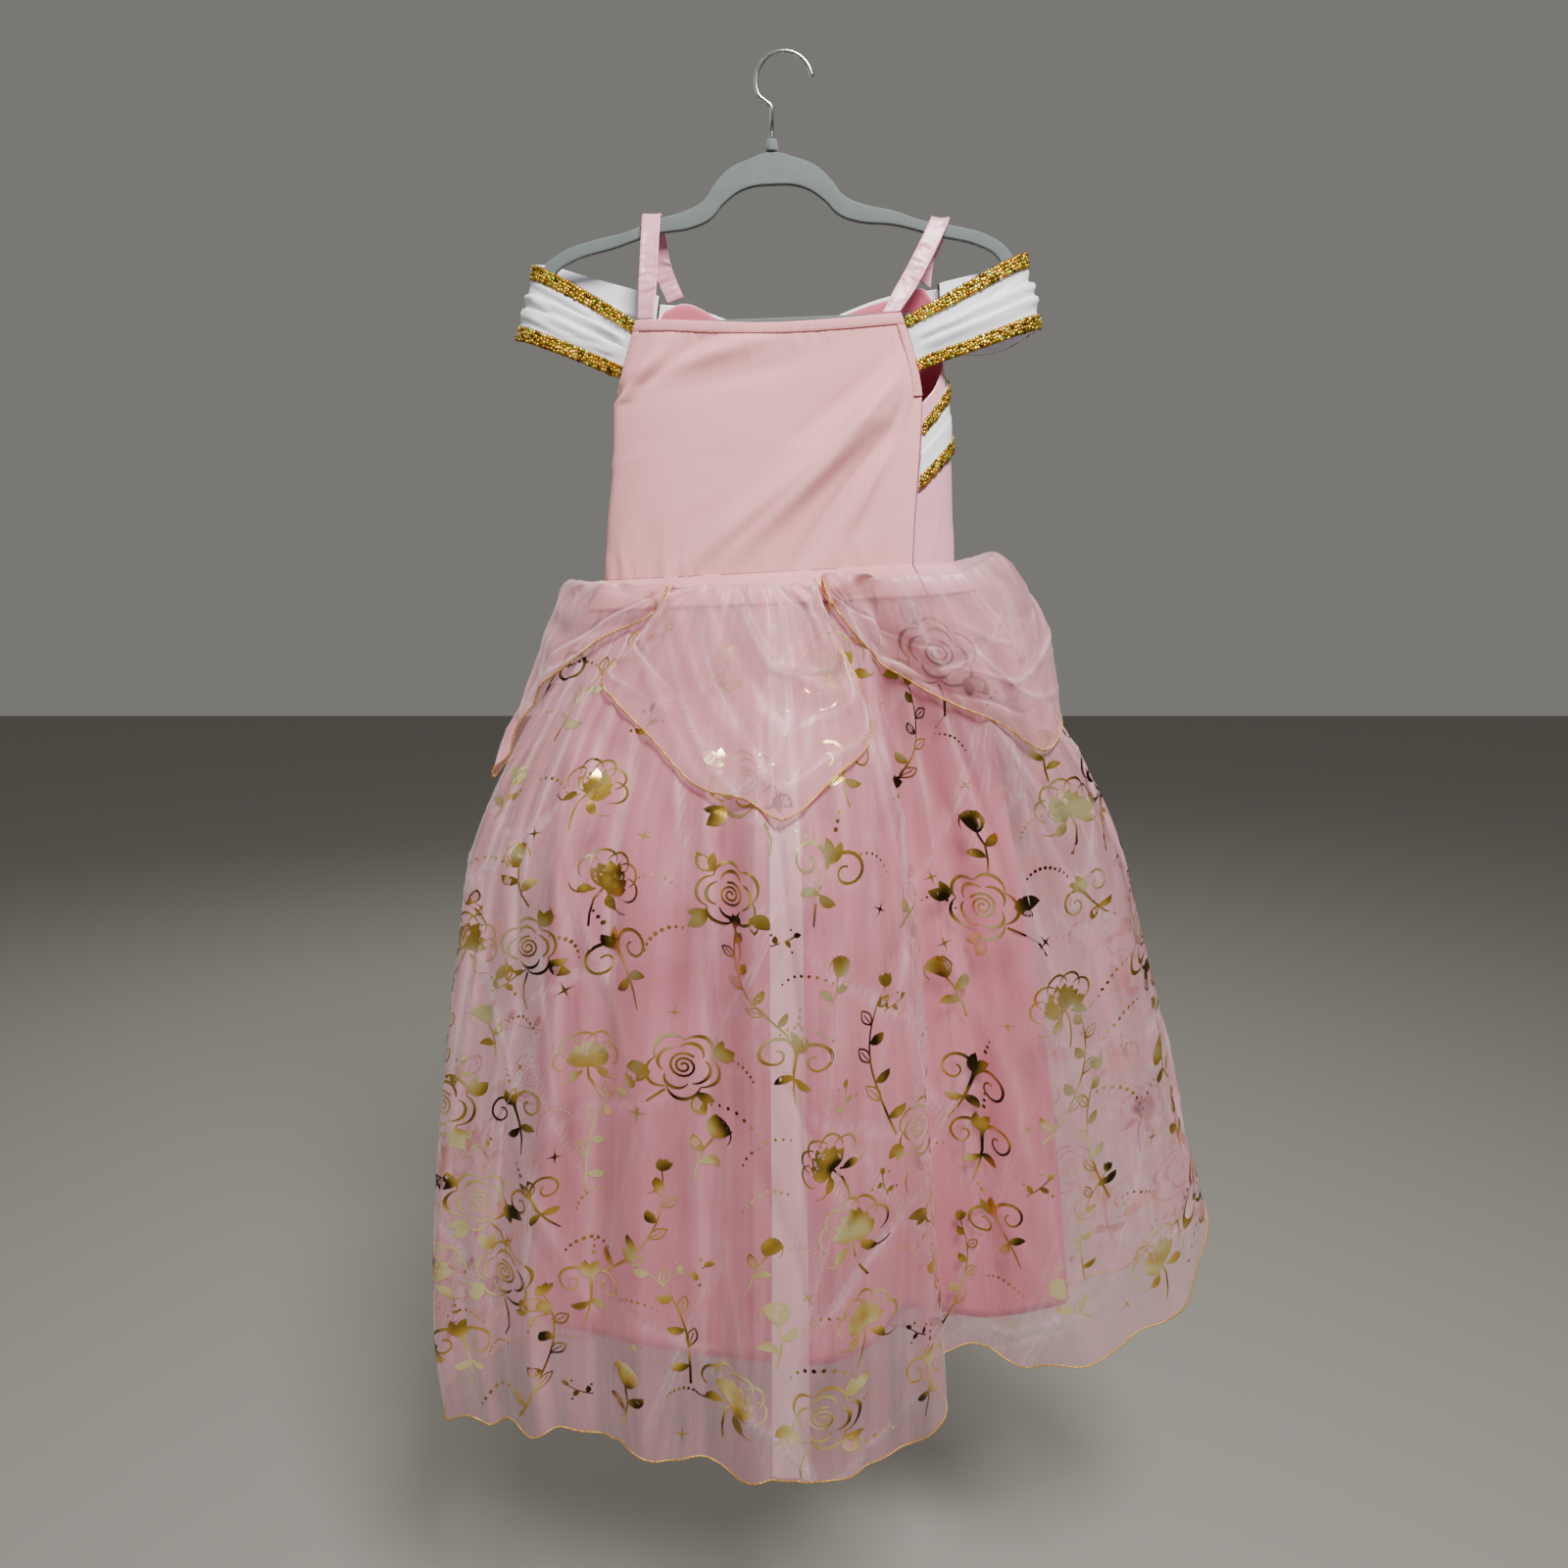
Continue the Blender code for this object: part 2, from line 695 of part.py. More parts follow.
class Skirt:
    """A skirt's form: a ring at each drop, spread from the waist to the hem."""

    def __init__(self, stations, levels, inset, folds=(), waves=0.0, gathers=0.0):
        self.hem = track(stations, closed=True)
        self.spread = track(levels)
        self.folds = folds
        self.waves = waves
        self.gathers = gathers
        _, middle_x, half_width, half_depth = BODICE_LEVELS[0]
        self.waist = (middle_x * MM, half_width * MM - inset, half_depth * MM - inset)
        self.waist_angles = even_angles(*self.waist)

    def base(self, share, drop):
        """The smooth form without folds, at a share of the waist and a drop."""
        share %= 1.0
        angle = float(np.interp(share, *self.waist_angles))
        waist_x, waist_y = ring_point(angle, *self.waist)
        hem_x, hem_y, hem_z = self.hem.at(share) * MM
        left, right = self.spread.at(drop)
        lean = rise(waist_x, -120 * MM, 120 * MM)
        spread = left + (right - left) * lean
        depth_spread = max(spread, rise(drop, 0.0, 0.35))
        start_z = waist_z(waist_x) - SKIRT_DROP
        return Vector((
            waist_x + (hem_x - waist_x) * spread,
            waist_y + (hem_y - waist_y) * depth_spread,
            start_z + (hem_z - start_z) * drop,
        ))

    def outward(self, share, drop):
        """The direction out of the skirt."""
        step = 0.006
        across = self.base(share + step, drop) - self.base(share - step, drop)
        up = self.base(share, max(drop - step, 0)) - self.base(share, drop + step)
        return across.cross(up).normalized()

    def fold_out(self, share, drop):
        """How far the soft folds push the skirt out at a place."""
        out = 0.0
        for fold in self.folds:
            reach = rise(drop, fold.top - 0.1, fold.top + 0.3)
            away = (share - fold.share + 0.5) % 1.0 - 0.5
            out += fold.depth * MM * bell(away, fold.width) * reach
        return out

    def gather_height(self, drop):
        """The height of the gathers at a drop."""
        fade = rise(drop, 0.0, 0.05) * (1 - 0.85 * rise(drop, 0.08, 0.45))
        return self.gathers * fade * (1 - rise(drop, 0.45, 0.8))

    def place(self, share, drop):
        """A point of the skirt with its gathers, folds and hem waves."""
        wave = math.cos(2 * math.pi * GATHERS * share)
        out = self.fold_out(share, drop) + self.gather_height(drop) * wave
        point = self.base(share, drop) + self.outward(share, drop) * out
        point.z += self.waves * math.sin(2 * math.pi * HEM_WAVES * share) * drop**6
        return point


def petal_columns(petal):
    """A petal's column count: its grid starts on the skirt's own columns."""
    return round((petal.root_end - petal.root_start) * SKIRT_COLUMNS)


def petal_surface(skirt, petal):
    """A petal's surface over the skirt: u along its root, v from free edge to root."""
    count = len(petal.edge) - 1
    edge = Track([i / count for i in range(count + 1)], petal.edge)
    waves = petal_columns(petal) / 2

    def place(u, v):
        out = 1 - v
        share, drop = edge.at(u)
        root = petal.root_start + (petal.root_end - petal.root_start) * u
        share = root + (share - root) * out
        drop *= out
        puff = petal.puff * math.sin(math.pi * 0.8 * out) * (0.35 + 0.65 * math.sin(math.pi * u))
        gather = PETAL_GATHER * rise(out, 0, 0.25) * (1 - 0.8 * out) * math.sin(math.pi * u)
        lift = PETAL_ROOT_LIFT + skirt.gather_height(drop) + max(skirt.fold_out(share, drop), 0)
        lift += PETAL_CLEARANCE * rise(out, 0, 0.2) + puff
        lift += gather * (1 + math.cos(2 * math.pi * waves * u))
        return skirt.base(share, drop) + skirt.outward(share, drop) * lift

    return place


def shaded(finish):
    """The material of a finish, made once."""
    name, colour, roughness, metallic = finish
    found = bpy.data.materials.get(name)
    if found is None:
        found = bpy.data.materials.new(name)
        found.use_nodes = True
        shader = found.node_tree.nodes["Principled BSDF"]
        shader.inputs["Base Color"].default_value = (*colour, 1.0)
        shader.inputs["Roughness"].default_value = roughness
        shader.inputs["Metallic"].default_value = metallic
    return found


def add(name, mesh, finish):
    """Add a mesh to the dress as a named, smooth object."""
    mesh.materials.append(shaded(finish))
    mesh.shade_smooth()
    piece = bpy.data.objects.new(name, mesh)
    bpy.data.collections["princess_dress"].objects.link(piece)
    return piece


def cloth(name, place, columns, rows, thickness, finish, closed=False):
    """A cloth piece: a grid laid on a surface, thickened outwards."""
    mesh = bpy.data.meshes.new(name)
    form = bmesh.new()
    bmesh.ops.create_grid(form, x_segments=columns, y_segments=rows, size=0.5)
    for vertex in form.verts:
        vertex.co = place(vertex.co.x + 0.5, vertex.co.y + 0.5)
    if closed:
        bmesh.ops.remove_doubles(form, verts=form.verts, dist=MERGE)
    form.to_mesh(mesh)
    form.free()
    piece = add(name, mesh, finish)
    wall = piece.modifiers.new("wall", "SOLIDIFY")
    wall.thickness = thickness
    wall.offset = 1.0
    return piece


def build_hanger():
    """The flocked body with its bar, as a flat outline with rounded edges."""
    curve = bpy.data.curves.new("hanger_body", "CURVE")
    curve.dimensions = "2D"
    curve.fill_mode = "BOTH"
    curve.extrude = HANGER_THICKNESS / 2 - HANGER_ROUNDING
    curve.bevel_depth = HANGER_ROUNDING
    curve.bevel_resolution = 0
    curve.offset = -HANGER_ROUNDING
    curve.resolution_u = 2
    for outline in (HANGER_OUTSIDE, HANGER_INSIDE):
        mirrored = [HangerPoint(-p.x, p.z) for p in reversed(outline) if p.x > 0]
        points = list(outline) + mirrored
        spline = curve.splines.new("BEZIER")
        spline.bezier_points.add(len(points) - 1)
        for knot, point in zip(spline.bezier_points, points):
            knot.co = (point.x * MM, point.z * MM, 0)
            knot.handle_left_type = knot.handle_right_type = "AUTO"
        spline.use_cyclic_u = True
    curve.materials.append(shaded(GREY_FLOCK))
    body = bpy.data.objects.new("hanger_body", curve)
    tilt = Matrix.Rotation(-HANGER_TILT, 4, "Y")
    body.matrix_world = Matrix.Translation(CROWN) @ tilt @ Matrix.Rotation(math.pi / 2, 4, "X")
    bpy.data.collections["princess_dress"].objects.link(body)


def hook_path():
    """The middle line of the hook's wire, from the collar to its tip."""
    points = [Vector((STEM_X, 0, COLLAR_TOP_Z + SEAM_GAP)), Vector((STEM_X, 0, STEM_TOP_Z))]
    turn = np.linspace(HOOK_SWING_ANGLE, HOOK_TIP_ANGLE, 17)
    arc = [
        HOOK_CENTRE + Vector((math.cos(a), 0, math.sin(a))) * HOOK_RADIUS for a in turn
    ]
    start = points[-1]
    leave, arrive = Vector((0, 0, 0.014)), Vector((-0.004, 0, 0.014))
    for i in range(1, 6):
        t = i / 6
        points.append(
            start * (2 * t**3 - 3 * t**2 + 1)
            + leave * (t**3 - 2 * t**2 + t)
            + arc[0] * (3 * t**2 - 2 * t**3)
            + arrive * (t**3 - t**2)
        )
    return points + arc


def build_hook():
    """The chrome wire hook and the collar at its foot."""
    curve = bpy.data.curves.new("hanger_hook", "CURVE")
    curve.dimensions = "3D"
    curve.bevel_depth = WIRE_RADIUS
    curve.bevel_resolution = 2
    curve.use_fill_caps = True
    path = hook_path()
    spline = curve.splines.new("POLY")
    spline.points.add(len(path) - 1)
    for knot, point in zip(spline.points, path):
        knot.co = (*point, 1.0)
    curve.materials.append(shaded(CHROME))
    hook = bpy.data.objects.new("hanger_hook", curve)
    bpy.data.collections["princess_dress"].objects.link(hook)
    mesh = bpy.data.meshes.new("hanger_collar")
    form = bmesh.new()
    bmesh.ops.create_cone(
        form,
        cap_ends=True,
        segments=20,
        radius1=COLLAR_RADIUS,
        radius2=COLLAR_RADIUS,
        depth=COLLAR_HEIGHT,
        matrix=Matrix.Translation((STEM_X, 0, COLLAR_TOP_Z - COLLAR_HEIGHT / 2)),
    )
    form.to_mesh(mesh)
    form.free()
    add("hanger_collar", mesh, GREY_FLOCK)


def strap_root(panel, share):
    """Where a strap meets a panel's top edge: a point just over it, and its direction."""
    edge_length = (panel(share + STRAP_PROBE, 1) - panel(share - STRAP_PROBE, 1)).length
    step = STRAP_PROBE * STRAP_WIDTH / edge_length
    start, end = panel(share - step, 1), panel(share + step, 1)
    middle = panel(share, 1) + Vector((0, 0, STRAP_GAP))
    return middle, (end - start).normalized()


def strap_surface(points, back_way, front_way):
    """A ribbon's surface: u across its width, v from its back root to its front."""
    lengths = np.cumsum([0] + [(b - a).length for a, b in zip(points, points[1:])])
    path = Track(lengths / lengths[-1], points)

    def place(u, v):
        ahead = Vector(path.at(min(v + STRAP_PROBE, 1.0))) - Vector(path.at(max(v - STRAP_PROBE, 0.0)))
        tangent = ahead.normalized()
        out = Vector((0, -tangent.z, tangent.y)).normalized()
        width = tangent.cross(out).normalized()
        width = back_way.lerp(width, rise(v, 0, STRAP_TURN))
        width = width.lerp(-front_way, rise(v, 1 - STRAP_TURN, 1)).normalized()
        return Vector(path.at(v)) + width * STRAP_WIDTH * (u - 0.5)

    return place


def build_straps():
    """The two straps, over the hanger's arms, each rooted at both panels."""
    for side, points in (("left", LEFT_STRAP), ("right", RIGHT_STRAP)):
        back, back_way = strap_root(back_panel, BACK_STRAP_PLACES[side])
        front, front_way = strap_root(front_panel, FRONT_STRAP_PLACES[side])
        rows = [back] + [Vector(point) * MM for point in points] + [front]
        place = strap_surface(rows, back_way, front_way)
        cloth(f"strap_{side}", place, 1, 24, CLOTH, PINK_SATIN)


def build_braids(name, place, columns, inset=0):
    """A gold braid along each edge of a band, a few columns short of its ends."""
    on_top = moved_out(place, CLOTH + SEAM_GAP)
    along = (inset / columns, 1 - inset / columns)
    columns -= 2 * inset
    low = patch(on_top, along, (0, BRAID_SHARE))
    high = patch(on_top, along, (1 - BRAID_SHARE, 1))
    cloth(f"{name}_braid_low", low, columns, 1, BRAID, GOLD_BRAID)
    cloth(f"{name}_braid_high", high, columns, 1, BRAID, GOLD_BRAID)


def build_bodice():
    """The panels of the bodice with their bindings, lining and bands."""
    cloth("back_bodice", back_panel, 16, 9, CLOTH, PINK_KNIT)
    cloth("front_bodice", front_panel, FRONT_COLUMNS, FRONT_ROWS, CLOTH, PINK_SATIN)
    inside = moved_out(front_panel, -(CLOTH + SEAM_GAP))
    cloth("front_lining", inside, FRONT_COLUMNS, FRONT_ROWS, CLOTH, ROSE_LINING)
    on_back = moved_out(back_panel, CLOTH + SEAM_GAP)
    top_row = 1 - BINDING_WIDTH / PANEL_HEIGHT
    cloth("back_top_binding", patch(on_back, (0, 1), (top_row, 1)), 16, 1, CLOTH, PINK_BINDING)
    rows = (BINDING_FOOT, top_row - SEAM_GAP / PANEL_HEIGHT)
    for side, places in (("left", (0, BINDING_REACH)), ("right", (1 - BINDING_REACH, 1))):
        cloth(f"armhole_binding_{side}", patch(on_back, places, rows), 1, 6, CLOTH, PINK_BINDING)
    for name, rows in (("neckline_band", NECKLINE_BAND), ("side_band", SIDE_BAND)):
        columns = round((rows[-1].place - rows[0].place) * FRONT_COLUMNS)
        cloth(name, band(rows), columns, 2, CLOTH, WHITE_SATIN)
        build_braids(name, band(rows), columns)


def build_sleeves():
    """Both sleeve bands with a gold braid along each edge."""
    for side in ("left", "right"):
        place = sleeve(side == "right")
        cloth(f"sleeve_{side}", place, SLEEVE_COLUMNS, SLEEVE_ROWS, CLOTH, WHITE_SATIN)
        build_braids(f"sleeve_{side}", place, SLEEVE_COLUMNS, inset=1)


def build_skirt():
    """The lining skirt, the overskirt and the petals."""
    lining = Skirt(LINING_STATIONS, LINING_LEVELS, CLOTH + SEAM_GAP + LINING_EASE)
    over = Skirt(
        OVERSKIRT_STATIONS,
        OVERSKIRT_LEVELS,
        0.0,
        OVERSKIRT_FOLDS,
        HEM_WAVE_HEIGHT,
        GATHER_HEIGHT,
    )
    cloth(
        "skirt_lining",
        lambda u, v: lining.place(u, 1 - v),
        LINING_COLUMNS,
        LINING_ROWS,
        CLOTH,
        PINK_LINING,
        closed=True,
    )
    cloth(
        "overskirt",
        lambda u, v: over.place(u, 1 - v),
        SKIRT_COLUMNS,
        SKIRT_ROWS,
        CLOTH,
        ORGANZA,
        closed=True,
    )
    for petal in PETALS:
        place = petal_surface(over, petal)
        cloth(petal.name, place, petal_columns(petal), PETAL_ROWS, CLOTH, ORGANZA)


def main():
    """Build the whole dress and hanger."""
    for old in list(bpy.data.objects):
        bpy.data.objects.remove(old, do_unlink=True)
    dress = bpy.data.collections.new("princess_dress")
    bpy.context.scene.collection.children.link(dress)
    build_hanger()
    build_hook()
    build_straps()
    build_bodice()
    build_sleeves()
    build_skirt()


main()
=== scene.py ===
"""A child's princess costume dress on its flocked hanger, as it is sewn, gathered and trimmed.

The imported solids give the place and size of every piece. Each cloth is laid again on the same
forms, finer, with its creases, gathers, stitches, sequins, foil print and overlocked edges.
"""

import logging
from collections.abc import Callable, Sequence
from dataclasses import dataclass, field
from enum import Enum
from functools import cached_property
from math import cos, pi, radians, sin
from typing import NamedTuple

import bmesh
import bpy
import numpy as np
from mathutils import Matrix, Vector


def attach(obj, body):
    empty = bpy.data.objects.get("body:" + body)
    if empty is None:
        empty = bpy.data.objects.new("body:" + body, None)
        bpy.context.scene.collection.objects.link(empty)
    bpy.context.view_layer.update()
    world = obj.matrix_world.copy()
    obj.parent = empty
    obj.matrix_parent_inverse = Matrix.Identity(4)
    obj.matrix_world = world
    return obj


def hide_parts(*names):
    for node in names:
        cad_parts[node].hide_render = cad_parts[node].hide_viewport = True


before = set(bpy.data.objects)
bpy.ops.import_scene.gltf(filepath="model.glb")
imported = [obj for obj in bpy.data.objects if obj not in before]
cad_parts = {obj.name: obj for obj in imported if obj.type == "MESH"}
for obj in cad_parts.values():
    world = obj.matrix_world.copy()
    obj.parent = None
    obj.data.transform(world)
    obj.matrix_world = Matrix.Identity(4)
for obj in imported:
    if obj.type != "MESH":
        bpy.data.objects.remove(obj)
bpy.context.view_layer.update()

LOG = logging.getLogger("princess_dress")
MM = 0.001
BODY = "root"

Array = np.ndarray
Surface = Callable[[Array, Array], Array]
Pair = tuple[float, float]
Cells = tuple[int, int]
Socket = bpy.types.NodeSocket

CLOTH = 1.1 * MM
SEAM_GAP = 0.3 * MM
LAYER = CLOTH + SEAM_GAP
HALF_GAP_ANGLE = 0.004
MERGE = 0.01 * MM


def linear(hex_colour: str) -> tuple[float, float, float, float]:
    """Turn an sRGB hex colour into linear light.

    Args:
        hex_colour: the colour as "#rrggbb".
    Returns:
        Red, green, blue and an alpha of 1.
    """
    parts = [int(hex_colour[i : i + 2], 16) / 255 for i in (1, 3, 5)]
    light = [p / 12.92 if p <= 0.04045 else ((p + 0.055) / 1.055) ** 2.4 for p in parts]
    return light[0], light[1], light[2], 1.0


def rise(value: Array | float, start: float, end: float) -> Array:
    """0 before the start, 1 after the end, smooth between."""
    t = np.clip((np.asarray(value, float) - start) / (end - start), 0.0, 1.0)
    return t * t * (3 - 2 * t)


def bell(distance: Array | float, width: float) -> Array:
    """A smooth bump of height 1 that fades over a width."""
    return np.exp(-((np.asarray(distance, float) / width) ** 2))


def unit(rows: Array) -> Array:
    """Each row scaled to a length of 1."""
    return rows / np.maximum(np.linalg.norm(rows, axis=-1, keepdims=True), 1e-12)


class Track:
    """A smooth curve through rows of numbers, read at any keys from first to last."""

    def __init__(self, table: Sequence, closed: bool = False) -> None:
        """Fit the curve.

        Args:
            table: rows whose first column is the key.
            closed: whether the curve repeats after a key of 1.
        """
        rows = np.array(table, float)
        keys, rows = rows[:, 0], rows[:, 1:]
        if closed:
            keys = np.concatenate((keys[-2:] - 1.0, keys, keys[:2] + 1.0))
            rows = np.concatenate((rows[-2:], rows, rows[:2]))
        self.keys, self.rows = keys, rows
        self.slopes = np.gradient(rows, keys, axis=0)

    def at(self, key: Array | float) -> Array:
        """Read the curve.

        Args:
            key: one key or many.
        Returns:
            One row for each key.
        """
        key = np.asarray(key, float)
        i = np.clip(np.searchsorted(self.keys, key, side="right") - 1, 0, len(self.keys) - 2)
        step = (self.keys[i + 1] - self.keys[i])[..., None]
        t = (key - self.keys[i])[..., None] / step
        leave, arrive = self.slopes[i] * step, self.slopes[i + 1] * step
        return (
            (2 * t**3 - 3 * t**2 + 1) * self.rows[i]
            + (t**3 - 2 * t**2 + t) * leave
            + (3 * t**2 - 2 * t**3) * self.rows[i + 1]
            + (t**3 - t**2) * arrive
        )


class Edge(Enum):
    """How a crease runs across: softly rolled or sharply pressed."""

    ROLLED = "rolled"
    PRESSED = "pressed"


class Crease(NamedTuple):
    """A straight ridge or hollow in cloth: its middle, run and size, in mm and radians."""

    x: float
    y: float
    angle: float
    length: float
    width: float
    depth: float
    edge: Edge = Edge.ROLLED


def creased(x: Array, y: Array, creases: Sequence[Crease]) -> Array:
    """How far creases lift a cloth.

    Args:
        x: places across the cloth, in mm.
        y: places up the cloth, in mm.
        creases: the creases.
    Returns:
        The lift at each place, in metres.
    """
    lift = np.zeros_like(x)
    for c in creases:
        along = (x - c.x) * cos(c.angle) + (y - c.y) * sin(c.angle)
        across = (y - c.y) * cos(c.angle) - (x - c.x) * sin(c.angle)
        profile = bell(across, c.width)
        if c.edge is Edge.PRESSED:
            profile = np.exp(-np.abs(across) / c.width)
        lift += c.depth * MM * profile * bell(along, c.length)
    return lift


def scattered(
    seed: int, count: int, box: tuple[float, float, float, float], angle: Pair, length: Pair, width: Pair,
    depth: float, edge: Edge = Edge.ROLLED,
) -> list[Crease]:
    """Draw creases at random, the same each time.

    Args:
        seed: the seed of the draw.
        count: how many.
        box: low x, low y, high x and high y of their middles, in mm.
        angle: the least and greatest run, in radians.
        length: the least and greatest length, in mm.
        width: the least and greatest width, in mm.
        depth: the greatest depth, in mm, up or down.
        edge: how they run across.
    Returns:
        The creases.
    """
    draw = np.random.default_rng(seed)
    return [
        Crease(
            draw.uniform(box[0], box[2]), draw.uniform(box[1], box[3]), draw.uniform(*angle),
            draw.uniform(*length), draw.uniform(*width),
            draw.choice((-1, 1)) * draw.uniform(0.4, 1.0) * depth, edge,
        )
        for _ in range(count)
    ]


def softened(grid: Array, reach: int) -> Array:
    """A grid averaged with its neighbours, both ways.

    Args:
        grid: rows of values.
        reach: how many neighbours on each side.
    Returns:
        The grid of averages.
    """
    for axis in (0, 1):
        pad = [(reach + 1, reach) if k == axis else (0, 0) for k in range(grid.ndim)]
        total = np.cumsum(np.pad(grid, pad, mode="edge"), axis=axis)
        first = np.arange(grid.shape[axis])
        ahead = np.take(total, first + 2 * reach + 1, axis=axis)
        grid = (ahead - np.take(total, first, axis=axis)) / (2 * reach + 1)
    return grid


class Lay:
    """A cloth surface sampled on an even grid, to read points and normals off it."""

    def __init__(self, surface: Surface, columns: int, rows: int) -> None:
        """Sample a surface.

        Args:
            surface: the surface, from shares u and v to points.
            columns: cells along u.
            rows: cells along v.
        """
        self.columns, self.rows = columns, rows
        u, v = np.meshgrid(np.linspace(0, 1, columns + 1), np.linspace(0, 1, rows + 1), indexing="ij")
        self.points = surface(u.ravel(), v.ravel()).reshape(columns + 1, rows + 1, 3)
        across, up = np.gradient(self.points, axis=(0, 1))
        self.normals = unit(np.cross(across, up))

    def read(self, grid: Array, u: Array, v: Array) -> Array:
        """Read a grid of rows between its samples."""
        x = np.clip(u, 0, 1) * self.columns
        y = np.clip(v, 0, 1) * self.rows
        i = np.clip(x.astype(int), 0, self.columns - 1)
        j = np.clip(y.astype(int), 0, self.rows - 1)
        s, t = (x - i)[..., None], (y - j)[..., None]
        low = grid[i, j] * (1 - s) + grid[i + 1, j] * s
        high = grid[i, j + 1] * (1 - s) + grid[i + 1, j + 1] * s
        return low * (1 - t) + high * t

    def at(self, u: Array, v: Array, lift: Array | float = 0.0) -> Array:
        """Points on the cloth.

        Args:
            u: shares along it.
            v: shares up it.
            lift: how far off its surface, in metres.
        Returns:
            One point for each pair.
        """
        u, v = np.asarray(u, float), np.asarray(v, float)
        lift = np.broadcast_to(np.asarray(lift, float), u.shape)[..., None]
        return self.read(self.points, u, v) + self.normal(u, v) * lift

    def normal(self, u: Array, v: Array) -> Array:
        """The outward directions at places on the cloth."""
        return unit(self.read(self.normals, np.asarray(u, float), np.asarray(v, float)))

    def bunching(self, reach: int, full_turn: float) -> Surface:
        """How much the cloth turns from its general face in folds, as a share.

        Args:
            reach: the samples on each side that the general face is averaged over.
            full_turn: the turn that counts as 1, in radians.
        Returns:
            The share at places on the cloth.
        """
        face = unit(softened(self.normals, reach))
        turn = np.arccos(np.clip((face * self.normals).sum(axis=-1), -1, 1))
        shares = np.clip(turn / full_turn, 0, 1)[..., None]
        return lambda u, v: self.read(shares, u, v)[..., 0]

    def patch(self, u_range: Pair = (0, 1), v_range: Pair = (0, 1), lift: float = 0.0) -> Surface:
        """A part of this cloth, or all of it, lifted off it, as a surface of its own."""

        def part(u: Array, v: Array) -> Array:
            return self.at(
                u_range[0] + (u_range[1] - u_range[0]) * u, v_range[0] + (v_range[1] - v_range[0]) * v,
                lift,
            )

        return part


@dataclass
class Wiring:
    """A material's nodes while it is being made."""

    tree: bpy.types.NodeTree
    shader: bpy.types.Node
    colour: str

    @cached_property
    def place(self) -> bpy.types.Node:
        """The coordinates that its patterns are laid on."""
        return self.tree.nodes.new("ShaderNodeTexCoord")

    @property
    def piece(self) -> dict[str, Socket]:
        """The link that lays a pattern in the piece's own space."""
        return {"Vector": self.place.outputs["Object"]}

    @property
    def weave(self) -> dict[str, Socket]:
        """The link that lays a pattern along the piece's cloth."""
        return {"Vector": self.place.outputs["UV"]}

    def add(
        self, kind: str, settings: dict | None = None, links: dict | None = None,
        output: int | str = 0, **choices: object,
    ) -> Socket:
        """Add a node.

        Args:
            kind: the node's type, without the part that all types share.
            settings: values by input name or number.
            links: outputs to join, by input name or number.
            output: the output that is used, by name or number.
            choices: the node's own options.
        Returns:
            That output.
        """
        made = self.tree.nodes.new(f"ShaderNode{kind}")
        for name, value in choices.items():
            setattr(made, name, value)
        for name, value in (settings or {}).items():
            made.inputs[name].default_value = value
        for name, socket in (links or {}).items():
            self.tree.links.new(socket, made.inputs[name])
        return made.outputs[output]

    def tint(self, factor: Socket, other: str, share: float, base: Socket | None = None) -> Socket:
        """Mix the finish's colour with another by a factor.

        Args:
            factor: where the other colour shows.
            other: the other colour.
            share: how much of it shows at most.
            base: a colour to start from instead of the finish's own.
        Returns:
            The mixed colour.
        """
        links = {0: self.add("Math", {1: share}, {0: factor}, operation="MULTIPLY")}
        if base is not None:
            links[6] = base
        ends = {6: linear(self.colour), 7: linear(other)}
        return self.add("Mix", ends, links, 2, data_type="RGBA")

    def bumped(self, height: Socket, distance: float, strength: float) -> None:
        """Give the shader a relief of a real height, in metres."""
        settings = {"Strength": strength, "Distance": distance}
        self.coat({"Normal": self.add("Bump", settings, {"Height": height})})

    def coat(self, settings: dict[str, object]) -> None:
        """Set the shader's own inputs to plain values, or join them to worked-out ones."""
        for name, value in settings.items():
            if isinstance(value, Socket):
                self.tree.links.new(value, self.shader.inputs[name])
            else:
                self.shader.inputs[name].default_value = value


@dataclass(frozen=True)
class Finish:
    """A finish that every cloth, thread and metal here is based on."""

    name: str
    colour: str

    def material(self) -> bpy.types.Material:
        """The material, made once."""
        found = bpy.data.materials.get(self.name)
        if found is None:
            found = bpy.data.materials.new(self.name)
            found.use_nodes = True
            tree = found.node_tree
            self.wire(Wiring(tree, tree.nodes["Principled BSDF"], self.colour))
        return found

    def wire(self, work: Wiring) -> None:
        """Set the shader up."""
        work.coat({"Base Color": linear(self.colour)})


@dataclass(frozen=True)
class CottonKnit(Finish):
    """Brushed stretch jersey: matte, with fine wales and a faint bloom of loose fibre."""

    shade: str
    wale: float = 1.6 * MM

    def wire(self, work: Wiring) -> None:
        """Wales by a wave across the cloth, and cloudy dye."""
        # Real wales are 0.7 mm apart; they are drawn coarser so that they show.
        bands = {"Scale": 1 / (self.wale * 2 * pi), "Distortion": 1.2, "Detail": 1.0}
        wales = work.add("TexWave", bands, work.weave, "Fac")
        patches = {"Scale": 22.0, "Detail": 5.0, "Roughness": 0.65}
        cloud = work.add("TexNoise", patches, work.piece, "Fac")
        speck = work.add("TexNoise", {"Scale": 900.0, "Detail": 2.0}, work.piece, "Fac")
        height = work.add("Math", None, {0: wales, 1: speck}, operation="ADD")
        work.coat({"Base Color": work.tint(cloud, self.shade, 0.28), "Roughness": 0.92})
        work.coat({"Sheen Weight": 0.15, "Sheen Roughness": 0.5})
        work.bumped(height, 0.25 * MM, 0.5)


